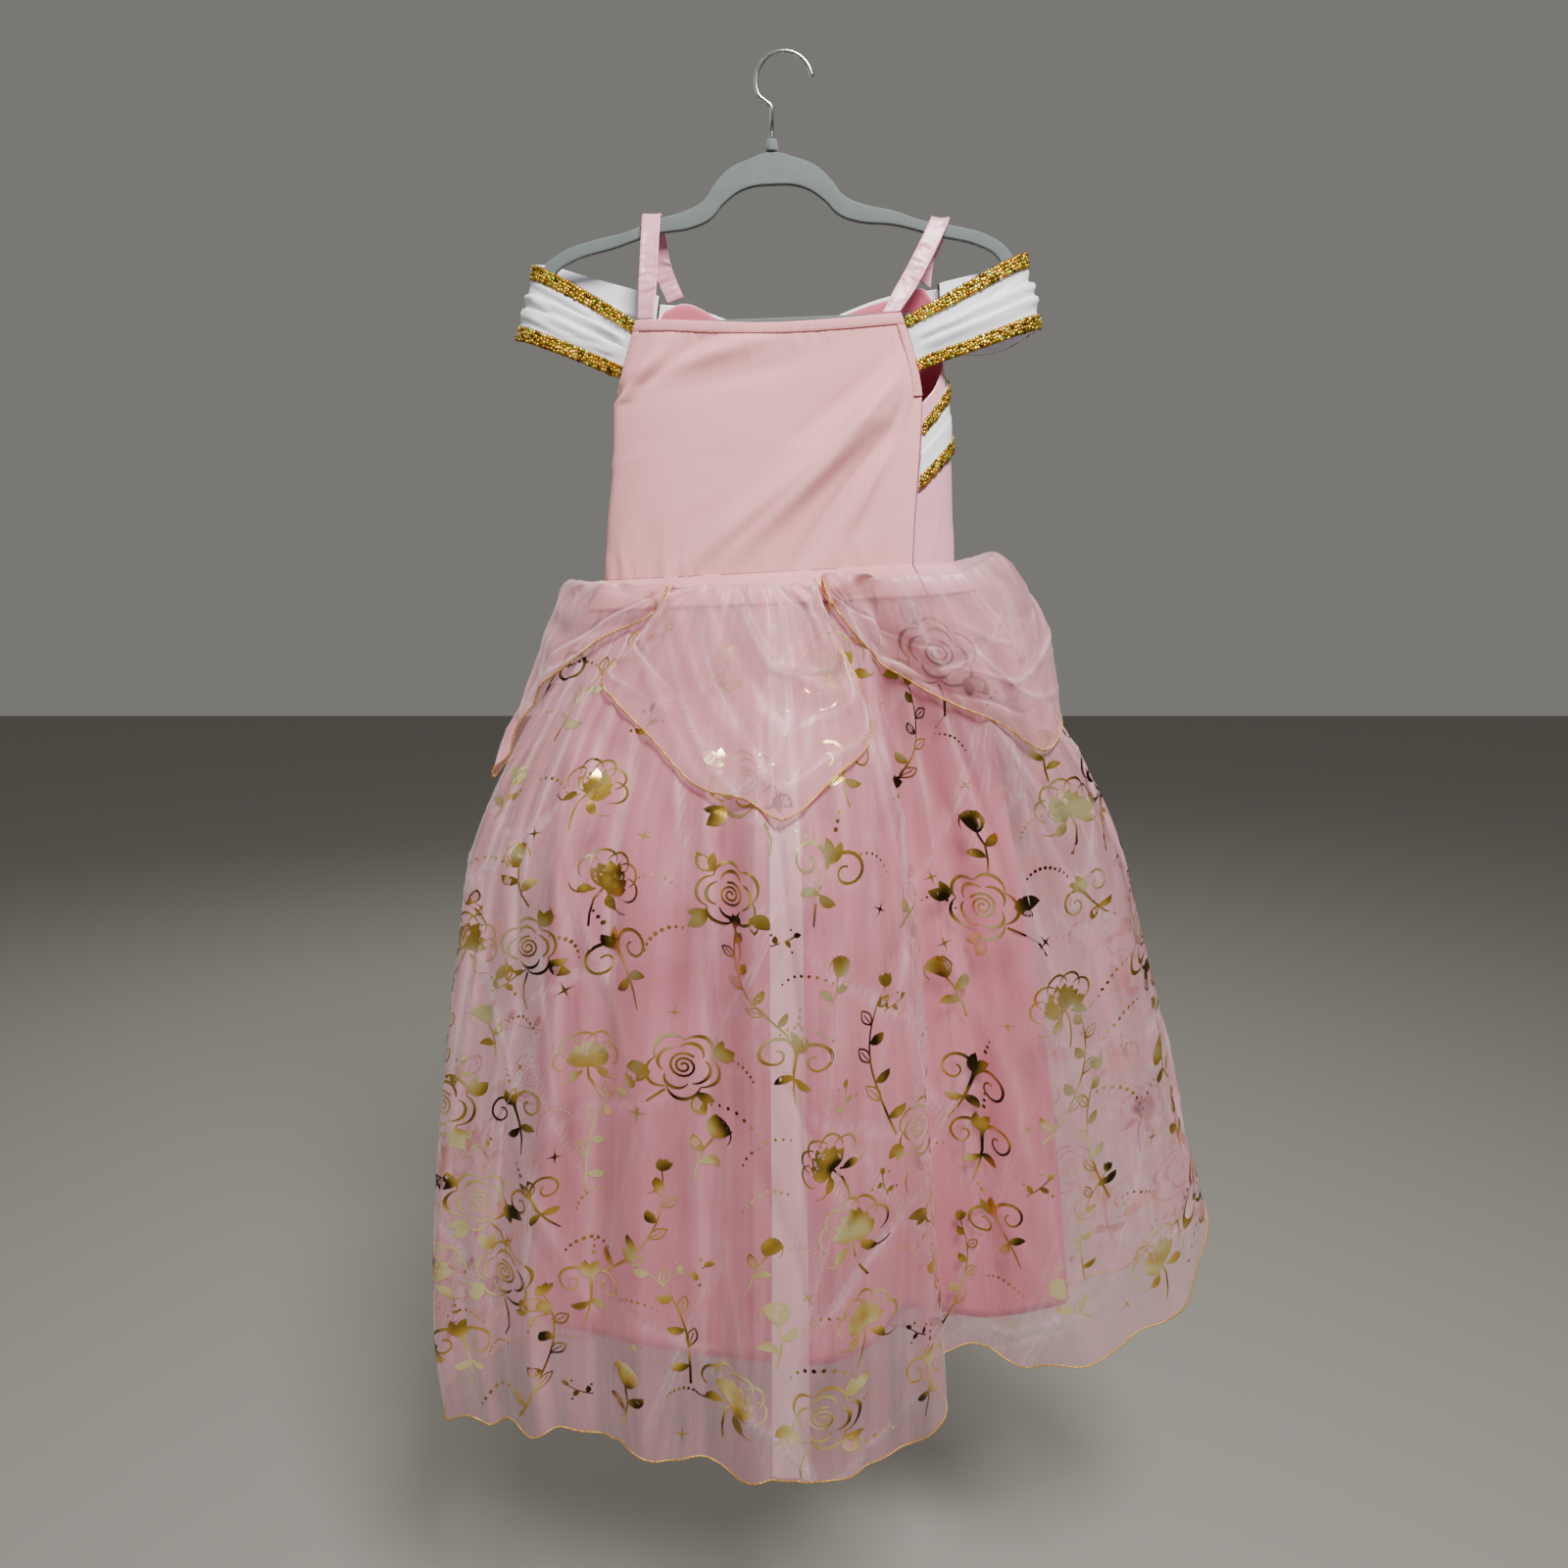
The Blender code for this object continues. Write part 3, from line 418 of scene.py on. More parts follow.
@dataclass(frozen=True)
class PolyesterSatin(Finish):
    """Woven polyester satin: long floats give a soft, streaked shine and fine slubs."""

    shade: str = "#a0a2b4"
    roughness: float = 0.36
    shade_share: float = 0.3

    def wire(self, work: Wiring) -> None:
        """Long slubs along the cloth and soft shading between them."""
        stretched = {"Vector": work.add("Mapping", {"Scale": (40.0, 700.0, 1.0)}, work.weave)}
        streaks = {"Scale": 1.0, "Detail": 3.0, "Roughness": 0.6}
        slubs = work.add("TexNoise", streaks, stretched, "Fac")
        cloud = work.add("TexNoise", {"Scale": 30.0, "Detail": 3.0}, work.piece, "Fac")
        ends = {"To Min": self.roughness - 0.08, "To Max": self.roughness + 0.14}
        gloss = work.add("MapRange", ends, {"Value": slubs})
        dye = work.tint(cloud, self.shade, self.shade_share)
        work.coat({"Base Color": dye, "Roughness": gloss, "Sheen Weight": 0.25})
        work.bumped(slubs, 0.2 * MM, 0.45)


@dataclass(frozen=True)
class Taffeta(Finish):
    """Plain woven polyester taffeta: even, slightly papery, with fine crossed threads."""

    shade: str
    thread: float = 1.2 * MM

    def wire(self, work: Wiring) -> None:
        """Crossed threads and uneven dye."""
        # The threads are 0.25 mm apart in the real cloth, and drawn coarser.
        bands = {"Scale": 1 / (self.thread * 2 * pi), "Distortion": 0.6}
        warp, weft = (
            work.add("TexWave", bands, work.weave, "Fac", bands_direction=direction)
            for direction in ("X", "Y")
        )
        threads = work.add("Math", None, {0: warp, 1: weft}, operation="ADD")
        patches = {"Scale": 9.0, "Detail": 4.0, "Roughness": 0.6}
        dye = work.tint(work.add("TexNoise", patches, work.piece, "Fac"), self.shade, 0.35)
        work.coat({"Base Color": dye, "Roughness": 0.72, "Sheen Weight": 0.2})
        work.bumped(threads, 0.12 * MM, 0.35)


@dataclass(frozen=True)
class Organza(Finish):
    """Crisp sheer nylon organza: see-through, milky in streaks of denser threads, with painted shade in
    its folds and painted highlights on its sharp creases.
    """

    # shade is the milky colour of denser streaks, and also the colour of the painted highlight on sharp
    # creases.
    shade: str
    thin: float
    thick: float
    bunched: float = 0.34
    # The darker pink of folds: partly denser dye, partly painted shade.
    dye_and_fold_shade: str = "#d4788c"
    thread: float = 1.5 * MM

    def wire(self, work: Wiring) -> None:
        """Denser streaks down the cloth, folds tinted partly by denser cloth and partly as painted shade,
        painted highlights on sharp creases and a fine mesh.
        """
        stretched = {"Vector": work.add("Mapping", {"Scale": (70.0, 5.0, 1.0)}, work.weave)}
        drawn = {"Scale": 1.0, "Detail": 4.0, "Roughness": 0.7}
        streaks = work.add("TexNoise", drawn, stretched, "Fac")
        cloud = work.add("TexNoise", {"Scale": 14.0, "Detail": 3.0}, work.piece, "Fac")
        both = work.add("Math", None, {0: streaks, 1: cloud}, operation="ADD")
        ends = {"From Min": 0.7, "From Max": 1.3, "To Min": self.thin, "To Max": self.thick}
        cover = work.add("MapRange", ends, {"Value": both})
        # Cloth that turns away from the skirt's face in a fold hides more behind its threads.
        fold_density_and_shade, crease_highlight = (
            work.add("Attribute", output="Fac", attribute_name=name) for name in ("fold_density_and_shade", "crease_highlight")
        )
        joins = {0: fold_density_and_shade, 2: cover}
        clamped = {"operation": "MULTIPLY_ADD", "use_clamp": True}
        denser = work.add("Math", {1: self.bunched}, joins, **clamped)
        # Folds are tinted a darker pink: partly the denser dye of cloth seen edge-on, partly painted shade
        # in the folds.
        dye_and_shade_in_folds = work.tint(fold_density_and_shade, self.dye_and_fold_shade, 0.8)
        milky = work.tint(streaks, self.shade, 0.12, dye_and_shade_in_folds)
        # Sharp crease lines are tinted near white: a painted highlight along them.
        lit = work.tint(crease_highlight, self.shade, 0.6, milky)
        work.coat({"Base Color": lit, "Alpha": denser, "Roughness": 0.36})
        work.coat({"Sheen Weight": 0.5, "Sheen Roughness": 0.4})
        # A mesh of 0.2 mm threads is too fine to show and is drawn coarser.
        bands = {"Scale": 1 / (self.thread * 2 * pi), "Distortion": 0.8}
        mesh = work.add("TexWave", bands, work.weave, "Fac", bands_direction="Y")
        work.bumped(mesh, 0.1 * MM, 0.3)


@dataclass(frozen=True)
class Foil(Finish):
    """Heat-pressed gold foil: a mirror-like metal skin, with painted dim and bright reflections in random
    patches.
    """

    painted_dark_reflection: str
    mottle: float = 17.0
    glare: str = "#fff2b4"

    def wire(self, work: Wiring) -> None:
        """Painted dim and bright reflection patches, with a crackled gloss."""
        patches = work.add("TexNoise", {"Scale": self.mottle, "Detail": 2.0}, work.piece, "Fac")
        crackle = work.add("TexNoise", {"Scale": 700.0, "Detail": 2.0}, work.piece, "Fac")
        ramp = work.add("ValToRGB", None, {"Fac": patches})
        steps = ramp.node.color_ramp.elements
        # Painted reflections: dim patches stand in for reflected shade, pale glare patches for reflected
        # light.
        steps[0].position, steps[0].color = 0.37, linear(self.painted_dark_reflection)
        steps[1].position, steps[1].color = 0.5, linear(self.colour)
        steps.new(0.62).color = linear(self.glare)
        work.coat({"Base Color": ramp, "Metallic": 0.85, "Roughness": 0.24})
        work.bumped(crackle, 0.1 * MM, 0.5)


@dataclass(frozen=True)
class Sequin(Finish):
    """Holographic gold sequins: metallised film, coloured with painted gold, orange and green glints and
    dim reflections, one for each sequin.
    """

    # Painted glint colours, from dim reflected shade to bright glints.
    glints: tuple[tuple[float, str], ...] = (
        (0.0, "#3f2f06"), (0.2, "#80640f"), (0.45, "#b8942a"), (0.66, "#dcbc4a"), (0.78, "#c9752a"),
        (0.87, "#7fb43a"), (0.95, "#f6e58c"),
    )

    def wire(self, work: Wiring) -> None:
        """A painted glint colour for each sequin, by its own random glint value."""
        glint = work.add("Attribute", output="Fac", attribute_name="glint")
        ramp = work.add("ValToRGB", None, {"Fac": glint})
        steps = ramp.node.color_ramp.elements
        while len(steps) < len(self.glints):
            steps.new(0.5)
        for step, (position, colour) in zip(steps, self.glints):
            step.position, step.color = position, linear(colour)
        work.coat({"Base Color": ramp, "Metallic": 0.8, "Roughness": 0.28})


@dataclass(frozen=True)
class Thread(Finish):
    """Twisted sewing or overlock thread, with its strands shown as slanted bands."""

    metallic: float = 0.0
    shade: str = "#8a6a20"
    strand: float = 1.4 * MM

    def wire(self, work: Wiring) -> None:
        """Slanted strands in colour and relief."""
        bands = {"Scale": 1 / (self.strand * 2 * pi), "Distortion": 1.0}
        strands = work.add("TexWave", bands, work.piece, "Fac", bands_direction="DIAGONAL")
        dye = work.tint(strands, self.shade, 0.55)
        work.coat({"Base Color": dye, "Metallic": self.metallic, "Roughness": 0.45})
        work.bumped(strands, 0.2 * MM, 0.5)


@dataclass(frozen=True)
class Flock(Finish):
    """Nylon flock on moulded polystyrene: short upright fibres, dull and slightly patchy."""

    shade: str

    def wire(self, work: Wiring) -> None:
        """Brushed patches and a fine nap."""
        brushed = {"Scale": 45.0, "Detail": 5.0, "Roughness": 0.7}
        patches = work.add("TexNoise", brushed, work.piece, "Fac")
        nap = work.add("TexNoise", {"Scale": 1300.0, "Detail": 2.0}, work.piece, "Fac")
        work.coat({"Base Color": work.tint(patches, self.shade, 0.5), "Roughness": 0.96})
        work.coat({"Sheen Weight": 0.6, "Sheen Roughness": 0.35})
        work.bumped(nap, 0.3 * MM, 0.7)


@dataclass(frozen=True)
class ChromedWire(Finish):
    """Bright chrome plate on drawn steel wire, with handling wear."""

    worn: str = "#6f7779"

    def wire(self, work: Wiring) -> None:
        """A gloss and a colour that vary with wear."""
        wear = work.add("TexNoise", {"Scale": 160.0, "Detail": 4.0}, work.piece, "Fac")
        gloss = work.add("MapRange", {"To Min": 0.08, "To Max": 0.3}, {"Value": wear})
        work.coat({"Base Color": work.tint(wear, self.worn, 0.35), "Roughness": gloss, "Metallic": 1.0})


@dataclass(frozen=True)
class PaintedFloor(Finish):
    """A plain pale painted floor."""

    def wire(self, work: Wiring) -> None:
        """Even and matte."""
        super().wire(work)
        work.coat({"Roughness": 0.9})


KNIT = CottonKnit("pink_cotton_knit", "#e8a5a8", "#cf868b")
KNIT_BINDING = CottonKnit("pink_knit_binding", "#e49da2", "#c67d84")
PINK_SATIN = PolyesterSatin("pink_polyester_satin", "#e4a4b8", "#bd8094", roughness=0.3)
WHITE_SATIN = PolyesterSatin("white_polyester_satin", "#eef1fa", shade_share=0.2)
ROSE_LINING = Taffeta("rose_taffeta_lining", "#c25c74", "#96394f")
SKIRT_TAFFETA = Taffeta("pink_taffeta_lining", "#d87f8f", "#b45e70")
ORGANZA = Organza("pink_nylon_organza", "#e99dae", "#fbe4ea", thin=0.2, thick=0.4)
PETAL_ORGANZA = Organza("petal_nylon_organza", "#f2a6b1", "#fdeaee", thin=0.28, thick=0.48)
SEAM_ORGANZA = Organza("folded_nylon_organza", "#f8c6d0", "#fff0f2", thin=0.46, thick=0.62)
FOIL = Foil("pressed_gold_foil", "#d9b04a", "#3a2c0c")
SEQUINS = Sequin("holographic_gold_sequins", "#c89a2c")
BRAID_TAPE = Thread("gold_braid_tape", "#8f6a18", metallic=0.4, shade="#4a3408")
OVERLOCK = Thread("gold_overlock_thread", "#d9ac58", metallic=0.55)
PINK_THREAD = Thread("pink_sewing_thread", "#e6b6bb", shade="#cf9199", strand=0.8 * MM)
FLOCK = Flock("grey_nylon_flock", "#677071", "#4d5555")
CHROME = ChromedWire("chromed_steel_wire", "#c3c9cb")
FLOOR = PaintedFloor("pale_painted_floor", "#9b9892")


def show(
    name: str, mesh: bpy.types.Mesh, finish: Finish, replaces: Sequence[str] = ()
) -> bpy.types.Object:
    """Make a piece of the dress or hanger from a finished mesh.

    Args:
        name: the piece's name.
        mesh: its mesh, already in place.
        finish: what it is made of.
        replaces: the solids that it stands for.
    Returns:
        The piece.
    """
    mesh.materials.clear()
    mesh.materials.append(finish.material())
    mesh.shade_smooth()
    piece = bpy.data.objects.new(name, mesh)
    bpy.context.scene.collection.objects.link(piece)
    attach(piece, BODY)
    if replaces:
        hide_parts(*replaces)
    area = sum(polygon.area for polygon in mesh.polygons)
    LOG.info("%s: %d faces, %.4f square metres", name, len(mesh.polygons), area)
    return piece


def grid_mesh(
    name: str, surface: Surface, cells: Cells, size: Pair, closed: bool = False,
    marks: dict[str, Surface] | None = None,
) -> bpy.types.Mesh:
    """Lay a fine grid on a surface.

    Args:
        name: the mesh's name.
        surface: the surface, from shares u and v to points.
        cells: cells along u and along v.
        size: the cloth's flat width and length, for its weave, in metres.
        closed: whether its first and last columns are sewn together.
        marks: values at its shares that its finish reads, by name.
    Returns:
        The mesh.
    """
    form = bmesh.new()
    uv = form.loops.layers.uv.new("UVMap")
    marks = marks or {}
    for mark in marks:
        form.verts.layers.float.new(mark)
    columns, rows = cells
    bmesh.ops.create_grid(form, x_segments=columns, y_segments=rows, size=0.5, calc_uvs=True)
    shares = np.array([vertex.co for vertex in form.verts]) + 0.5
    for vertex, point in zip(form.verts, surface(shares[:, 0], shares[:, 1])):
        vertex.co = point
    for mark, value in marks.items():
        layer = form.verts.layers.float[mark]
        for vertex, share in zip(form.verts, value(shares[:, 0], shares[:, 1])):
            vertex[layer] = share
    for face in form.faces:
        for loop in face.loops:
            loop[uv].uv = (loop[uv].uv[0] * size[0], loop[uv].uv[1] * size[1])
    if closed:
        bmesh.ops.remove_doubles(form, verts=form.verts, dist=MERGE)
    return finished(form, name)


def finished(form: bmesh.types.BMesh, name: str) -> bpy.types.Mesh:
    """A worked form as a new mesh."""
    mesh = bpy.data.meshes.new(name)
    form.to_mesh(mesh)
    form.free()
    return mesh


def cloth(
    name: str, surface: Surface, cells: Cells, size: Pair, finish: Finish, slot: str,
    stands_for: Sequence[str] = (), wall: float = 0.0, closed: bool = False,
    marks: dict[str, Surface] | None = None,
) -> bpy.types.Object:
    """Lay a cloth on a surface, and give it a wall outwards if it is not sheer.

    Args:
        name: the piece's name.
        surface: the surface, from shares u and v to points.
        cells: its cells along u and along v.
        size: its flat width and length, for its weave, in metres.
        finish: what it is made of.
        slot: the record's material slot for it; not used.
        stands_for: the solids that it stands for.
        wall: its thickness, in metres.
        closed: whether its first and last columns are sewn together.
        marks: values at its shares that its finish reads, by name.
    Returns:
        The cloth.
    """
    piece = show(name, grid_mesh(name, surface, cells, size, closed, marks), finish, stands_for)
    if wall:
        shell = piece.modifiers.new("wall", "SOLIDIFY")
        shell.thickness = wall
        shell.offset = 1.0
    return piece


def tube_mesh(
    name: str, centres: Array, outward: Array, radius: Array, sides: int, closed: bool
) -> bpy.types.Mesh:
    """A tube along a line, such as an overlocked edge.

    Args:
        name: the mesh's name.
        centres: points along the line.
        outward: the cloth's outward direction at each.
        radius: the tube's radius at each, in metres.
        sides: cells round it.
        closed: whether the line meets itself.
    Returns:
        The mesh.
    """
    count = len(centres) - 1
    tangent = unit(np.gradient(centres, axis=0))
    if closed:
        tangent[0] = tangent[-1] = unit(centres[1] - centres[-2])
    side = unit(np.cross(tangent, outward))
    other = unit(np.cross(side, tangent))
    if not closed:
        radius = radius.copy()
        radius[0] = radius[-1] = 0.0

    def surface(u: Array, v: Array) -> Array:
        i = np.rint(u * count).astype(int)
        turn = -2 * pi * v
        spoke = side[i] * np.cos(turn)[:, None] + other[i] * np.sin(turn)[:, None]
        return centres[i] + spoke * radius[i][:, None]

    length = float(np.linalg.norm(np.diff(centres, axis=0), axis=1).sum())
    return grid_mesh(name, surface, (count, sides), (length, float(radius.max()) * 6), True)


def along(points: Array, spacing: float) -> Array:
    """Even places along a line of points.

    Args:
        points: the line.
        spacing: the distance between places, in metres.
    Returns:
        The places as fractional indices into the points.
    """
    run = np.concatenate(([0], np.cumsum(np.linalg.norm(np.diff(points, axis=0), axis=1))))
    count = max(int(run[-1] / spacing), 2)
    return np.interp(np.linspace(0, run[-1], count), run, np.arange(len(points)))


def row_of_stitches(
    name: str, lay: Lay, lines: Sequence[tuple[Array, Array]], lift: float, finish: Finish, slot: str,
    spacing: float = 3.2 * MM,
) -> bpy.types.Object:
    """Sew rows of stitches on a cloth.

    Args:
        name: the piece's name.
        lay: the cloth.
        lines: the rows, as shares u and v.
        lift: how far off the cloth's form its outer face lies, in metres.
        finish: the thread.
        slot: the record's material slot; not used.
        spacing: the length of a stitch and its gap, in metres.
    Returns:
        The piece.
    """
    form = bmesh.new()
    for u, v in lines:
        path = lay.at(u, v, lift)
        places = along(path, spacing)
        index = np.arange(len(u))
        us, vs = np.interp(places, index, u), np.interp(places, index, v)
        points, out = lay.at(us, vs, lift), lay.normal(us, vs)
        ahead = unit(np.gradient(points, axis=0))
        side = unit(np.cross(out, ahead))
        for point, way, across, up in zip(points, ahead, side, out):
            frame = Matrix.Identity(4)
            sizes = (spacing * 0.36, 0.35 * MM, 0.3 * MM)
            for k, (axis, size) in enumerate(zip((way, across, up), sizes)):
                frame.col[k].xyz = Vector(axis) * size
            frame.translation = Vector(point)
            bmesh.ops.create_icosphere(form, subdivisions=1, radius=1.0, matrix=frame)
    return show(name, finished(form, name), finish)


def ring_point(angle: Array, middle_x: Array, half_width: Array, half_depth: Array) -> tuple[Array, Array]:
    """Points of a rounded oval ring: angle 0 is its left end, a quarter turn its back."""
    power = 2.0 / 2.6
    c, s = np.cos(angle), np.sin(angle)
    x = middle_x - half_width * np.sign(c) * np.abs(c) ** power
    return x, -half_depth * np.sign(s) * np.abs(s) ** power


def even_angles(middle_x: float, half_width: float, half_depth: float) -> tuple[Array, Array]:
    """Shares of an oval ring's length, and the angle at each of them."""
    angles = np.linspace(0, 2 * pi, 721)
    x, y = ring_point(angles, middle_x, half_width, half_depth)
    run = np.concatenate(([0], np.cumsum(np.hypot(np.diff(x), np.diff(y)))))
    return run / run[-1], angles


@dataclass(frozen=True)
class BodiceForm:
    """The form that the bodice is draped on: an oval ring at each height, in mm."""

    levels: tuple = (
        (-460, -1, 161, 37), (-400, -0.5, 157.5, 36), (-340, 1.5, 152.5, 34), (-290, 1.5, 148, 32),
        (-240, 3.8, 139.8, 31), (-180, 7, 133, 31),
    )
    back_top: tuple = ((0.00, -221.5), (0.25, -225), (0.50, -227), (0.75, -223.5), (1.00, -217.5))
    front_top: tuple = (
        (0.000, -290), (0.040, -276), (0.075, -258), (0.105, -240), (0.130, -206), (0.160, -188),
        (0.240, -189.5), (0.447, -210), (0.588, -234), (0.754, -209), (0.905, -199), (0.930, -206),
        (0.955, -240), (1.000, -286),
    )
    waist_z: float = -440.0 * MM
    waist_slope: float = 0.05
    underarm_z: float = -290.0 * MM
    armhole_height: float = 70.0 * MM
    left_seam_angle: float = -0.25
    left_top_angle: float = 0.34
    right_seam_x: float = 119.0 * MM
    right_underarm_x: float = 125.0 * MM
    right_top_x: float = 106.0 * MM

    def ring(self, z: Array) -> tuple[Array, Array, Array]:
        """The middle, half width and half depth of the ring at heights."""
        rows = Track(self.levels).at(np.asarray(z, float) / MM) * MM
        return rows[..., 0], rows[..., 1], rows[..., 2]

    def point(self, angle: Array, z: Array) -> Array:
        """Points on the form."""
        angle, z = np.broadcast_arrays(np.asarray(angle, float), np.asarray(z, float))
        x, y = ring_point(angle, *self.ring(z))
        return np.stack((x, y, z), axis=-1)

    def on(self, angle: Array, z: Array, out: Array | float) -> Array:
        """Points moved level out of the form."""
        step = 0.01
        run = self.point(angle + step, z) - self.point(angle - step, z)
        away = unit(np.cross(run, (0.0, 0.0, 1.0)))
        out = np.broadcast_to(np.asarray(out, float), np.shape(angle))[..., None]
        return self.point(angle, z) + away * out

    def seam_angle(self, x: Array, z: Array) -> Array:
        """The angle of a place on the back, from its x."""
        middle_x, half_width, _ = self.ring(z)
        c = (middle_x - x) / half_width
        return np.arccos(np.sign(c) * np.abs(c) ** 1.3)

    def side_angle(self, right: bool, z: Array) -> Array:
        """The angle of a side edge of the back panel: its side seam, then its armhole."""
        z = np.asarray(z, float)
        above = np.maximum(z - self.underarm_z, 0.0) / self.armhole_height
        if not right:
            turn = self.left_top_angle - self.left_seam_angle
            return self.left_seam_angle + turn * above**0.6
        spread = self.right_underarm_x - self.right_seam_x
        seam = self.right_seam_x + spread * rise(z, self.waist_z, self.underarm_z)
        reach = self.right_top_x - self.right_underarm_x
        return self.seam_angle(seam + reach * above**1.4, z)

    def angle_between(self, start: Array, end: Array, place: Array) -> Array:
        """The angle at an even place between two angles of the ring."""
        shares, angles = even_angles(*self.levels[2][1:])
        turns = np.concatenate((angles - 2 * pi, angles[1:]))
        run = np.concatenate((shares - 1, shares[1:]))
        first, last = np.interp(start, turns, run), np.interp(end, turns, run)
        return np.interp(first + (last - first) * place, run, turns)

    def front_angle(self, place: Array, z: Array) -> Array:
        """The angle of a place on the front panel, from its right seam to its left."""
        low = np.minimum(z, self.underarm_z)
        start = self.side_angle(True, low) + HALF_GAP_ANGLE
        end = 2 * pi + self.side_angle(False, low) - HALF_GAP_ANGLE
        return self.angle_between(start, end, place)

    def back_panel(self, u: Array, v: Array) -> Array:
        """The back panel: u runs from its left edge to its right, v from waist to top."""
        z = self.waist_z + (Track(self.back_top).at(u)[..., 0] * MM - self.waist_z) * v
        left = self.side_angle(False, z) + HALF_GAP_ANGLE
        right = self.side_angle(True, z) - HALF_GAP_ANGLE
        points = self.point(self.angle_between(left, right, u), z)
        points[..., 2] += self.waist_slope * points[..., 0] * (1 - v)
        return points

    def front_panel(self, u: Array, v: Array) -> Array:
        """The front panel: u runs from the right seam round the front to the left one."""
        z = self.waist_z + (Track(self.front_top).at(u)[..., 0] * MM - self.waist_z) * v
        points = self.point(self.front_angle(u, z), z)
        points[..., 2] += self.waist_slope * points[..., 0] * (1 - v)
        return points


FORM = BodiceForm()


def moved_out(surface: Surface, distance: Callable[[Array, Array], Array] | float) -> Surface:
    """The same surface moved out along its normals, by a distance or a function."""

    def lifted(u: Array, v: Array) -> Array:
        step = 0.002
        low_u, high_u = np.maximum(u - step, 0), np.minimum(u + step, 1)
        low_v, high_v = np.maximum(v - step, 0), np.minimum(v + step, 1)
        across = surface(high_u, v) - surface(low_u, v)
        up = surface(u, high_v) - surface(u, low_v)
        lift = distance(u, v) if callable(distance) else np.full(np.shape(u), distance)
        return surface(u, v) + unit(np.cross(across, up)) * lift[..., None]

    return lifted


@dataclass
class Trim:
    """Sequin braid sewn along a band: a narrow tape under rows of small cupped sequins."""

    radius: float = 2.3 * MM
    depth: float = 0.7 * MM
    tip_share: float = 0.45
    sides: int = 7
    pitch: float = 2.7 * MM
    lines: int = 4
    overlap_lift: float = 0.15 * MM
    tape_thickness: float = 0.5 * MM
    tape_cells: Cells = (90, 4)
    tape_size: Pair = (0.4, 0.013)
    samples: int = 200
    ends: Pair = (0.004, 0.996)
    share: float = 0.2

    def sew_pair(self, name: str, lay: Lay) -> list[bpy.types.Object]:
        """Sew a braid on each long edge of a band.

        Args:
            name: the band's name.
            lay: the band.
        Returns:
            The lower and the upper braid.
        """
        edges = {"low": (0.0, self.share), "high": (1 - self.share, 1.0)}
        return [self.sew(f"{name}_braid_{edge}", lay, rows) for edge, rows in edges.items()]

    def sew(self, name: str, lay: Lay, rows: Pair) -> bpy.types.Object:
        """Sew one braid on a band.

        Args:
            name: the braid's name, which is its solid's.
            lay: the band.
            rows: the shares of the band's width that it covers.
        Returns:
            The braid.
        """
        tape = lay.patch(self.ends, rows, LAYER)
        look = (BRAID_TAPE, "gold_braid")
        cloth(f"{name}_tape", tape, self.tape_cells, self.tape_size, *look, wall=self.tape_thickness)
        draw = np.random.default_rng(sum(ord(letter) for letter in name))
        form = bmesh.new()
        glint = form.verts.layers.float.new("glint")
        run = np.linspace(*self.ends, self.samples)
        for line in range(self.lines):
            level = rows[0] + (rows[1] - rows[0]) * (0.04 + 0.92 * (line + 0.5) / self.lines)
            places = along(lay.at(run, np.full(self.samples, level), LAYER), self.pitch)
            us = np.interp(places + (line % 2) * 0.4, np.arange(self.samples), run)
            vs = np.full(len(us), level) + draw.normal(0, 0.006, len(us))
            height = LAYER + self.tape_thickness + self.depth / 2
            points = lay.at(us, vs, height + self.overlap_lift * (line % 2))
            for point, out in zip(points, lay.normal(us, vs)):
                lean = Vector(out) + Vector(draw.normal(0, 0.22, 3))
                turn = lean.to_track_quat("Z", "Y").to_matrix().to_4x4()
                made = bmesh.ops.create_cone(
                    form, cap_ends=True, segments=self.sides, radius1=self.radius,
                    radius2=self.radius * self.tip_share, depth=self.depth,
                    matrix=Matrix.Translation(Vector(point)) @ turn,
                )
                # A random painted glint for this sequin, from reflected shade to a bright glint.
                shine = float(draw.beta(1.6, 1.6))
                for vertex in made["verts"]:
                    vertex[glint] = shine
        return show(name, finished(form, name), SEQUINS, [name])


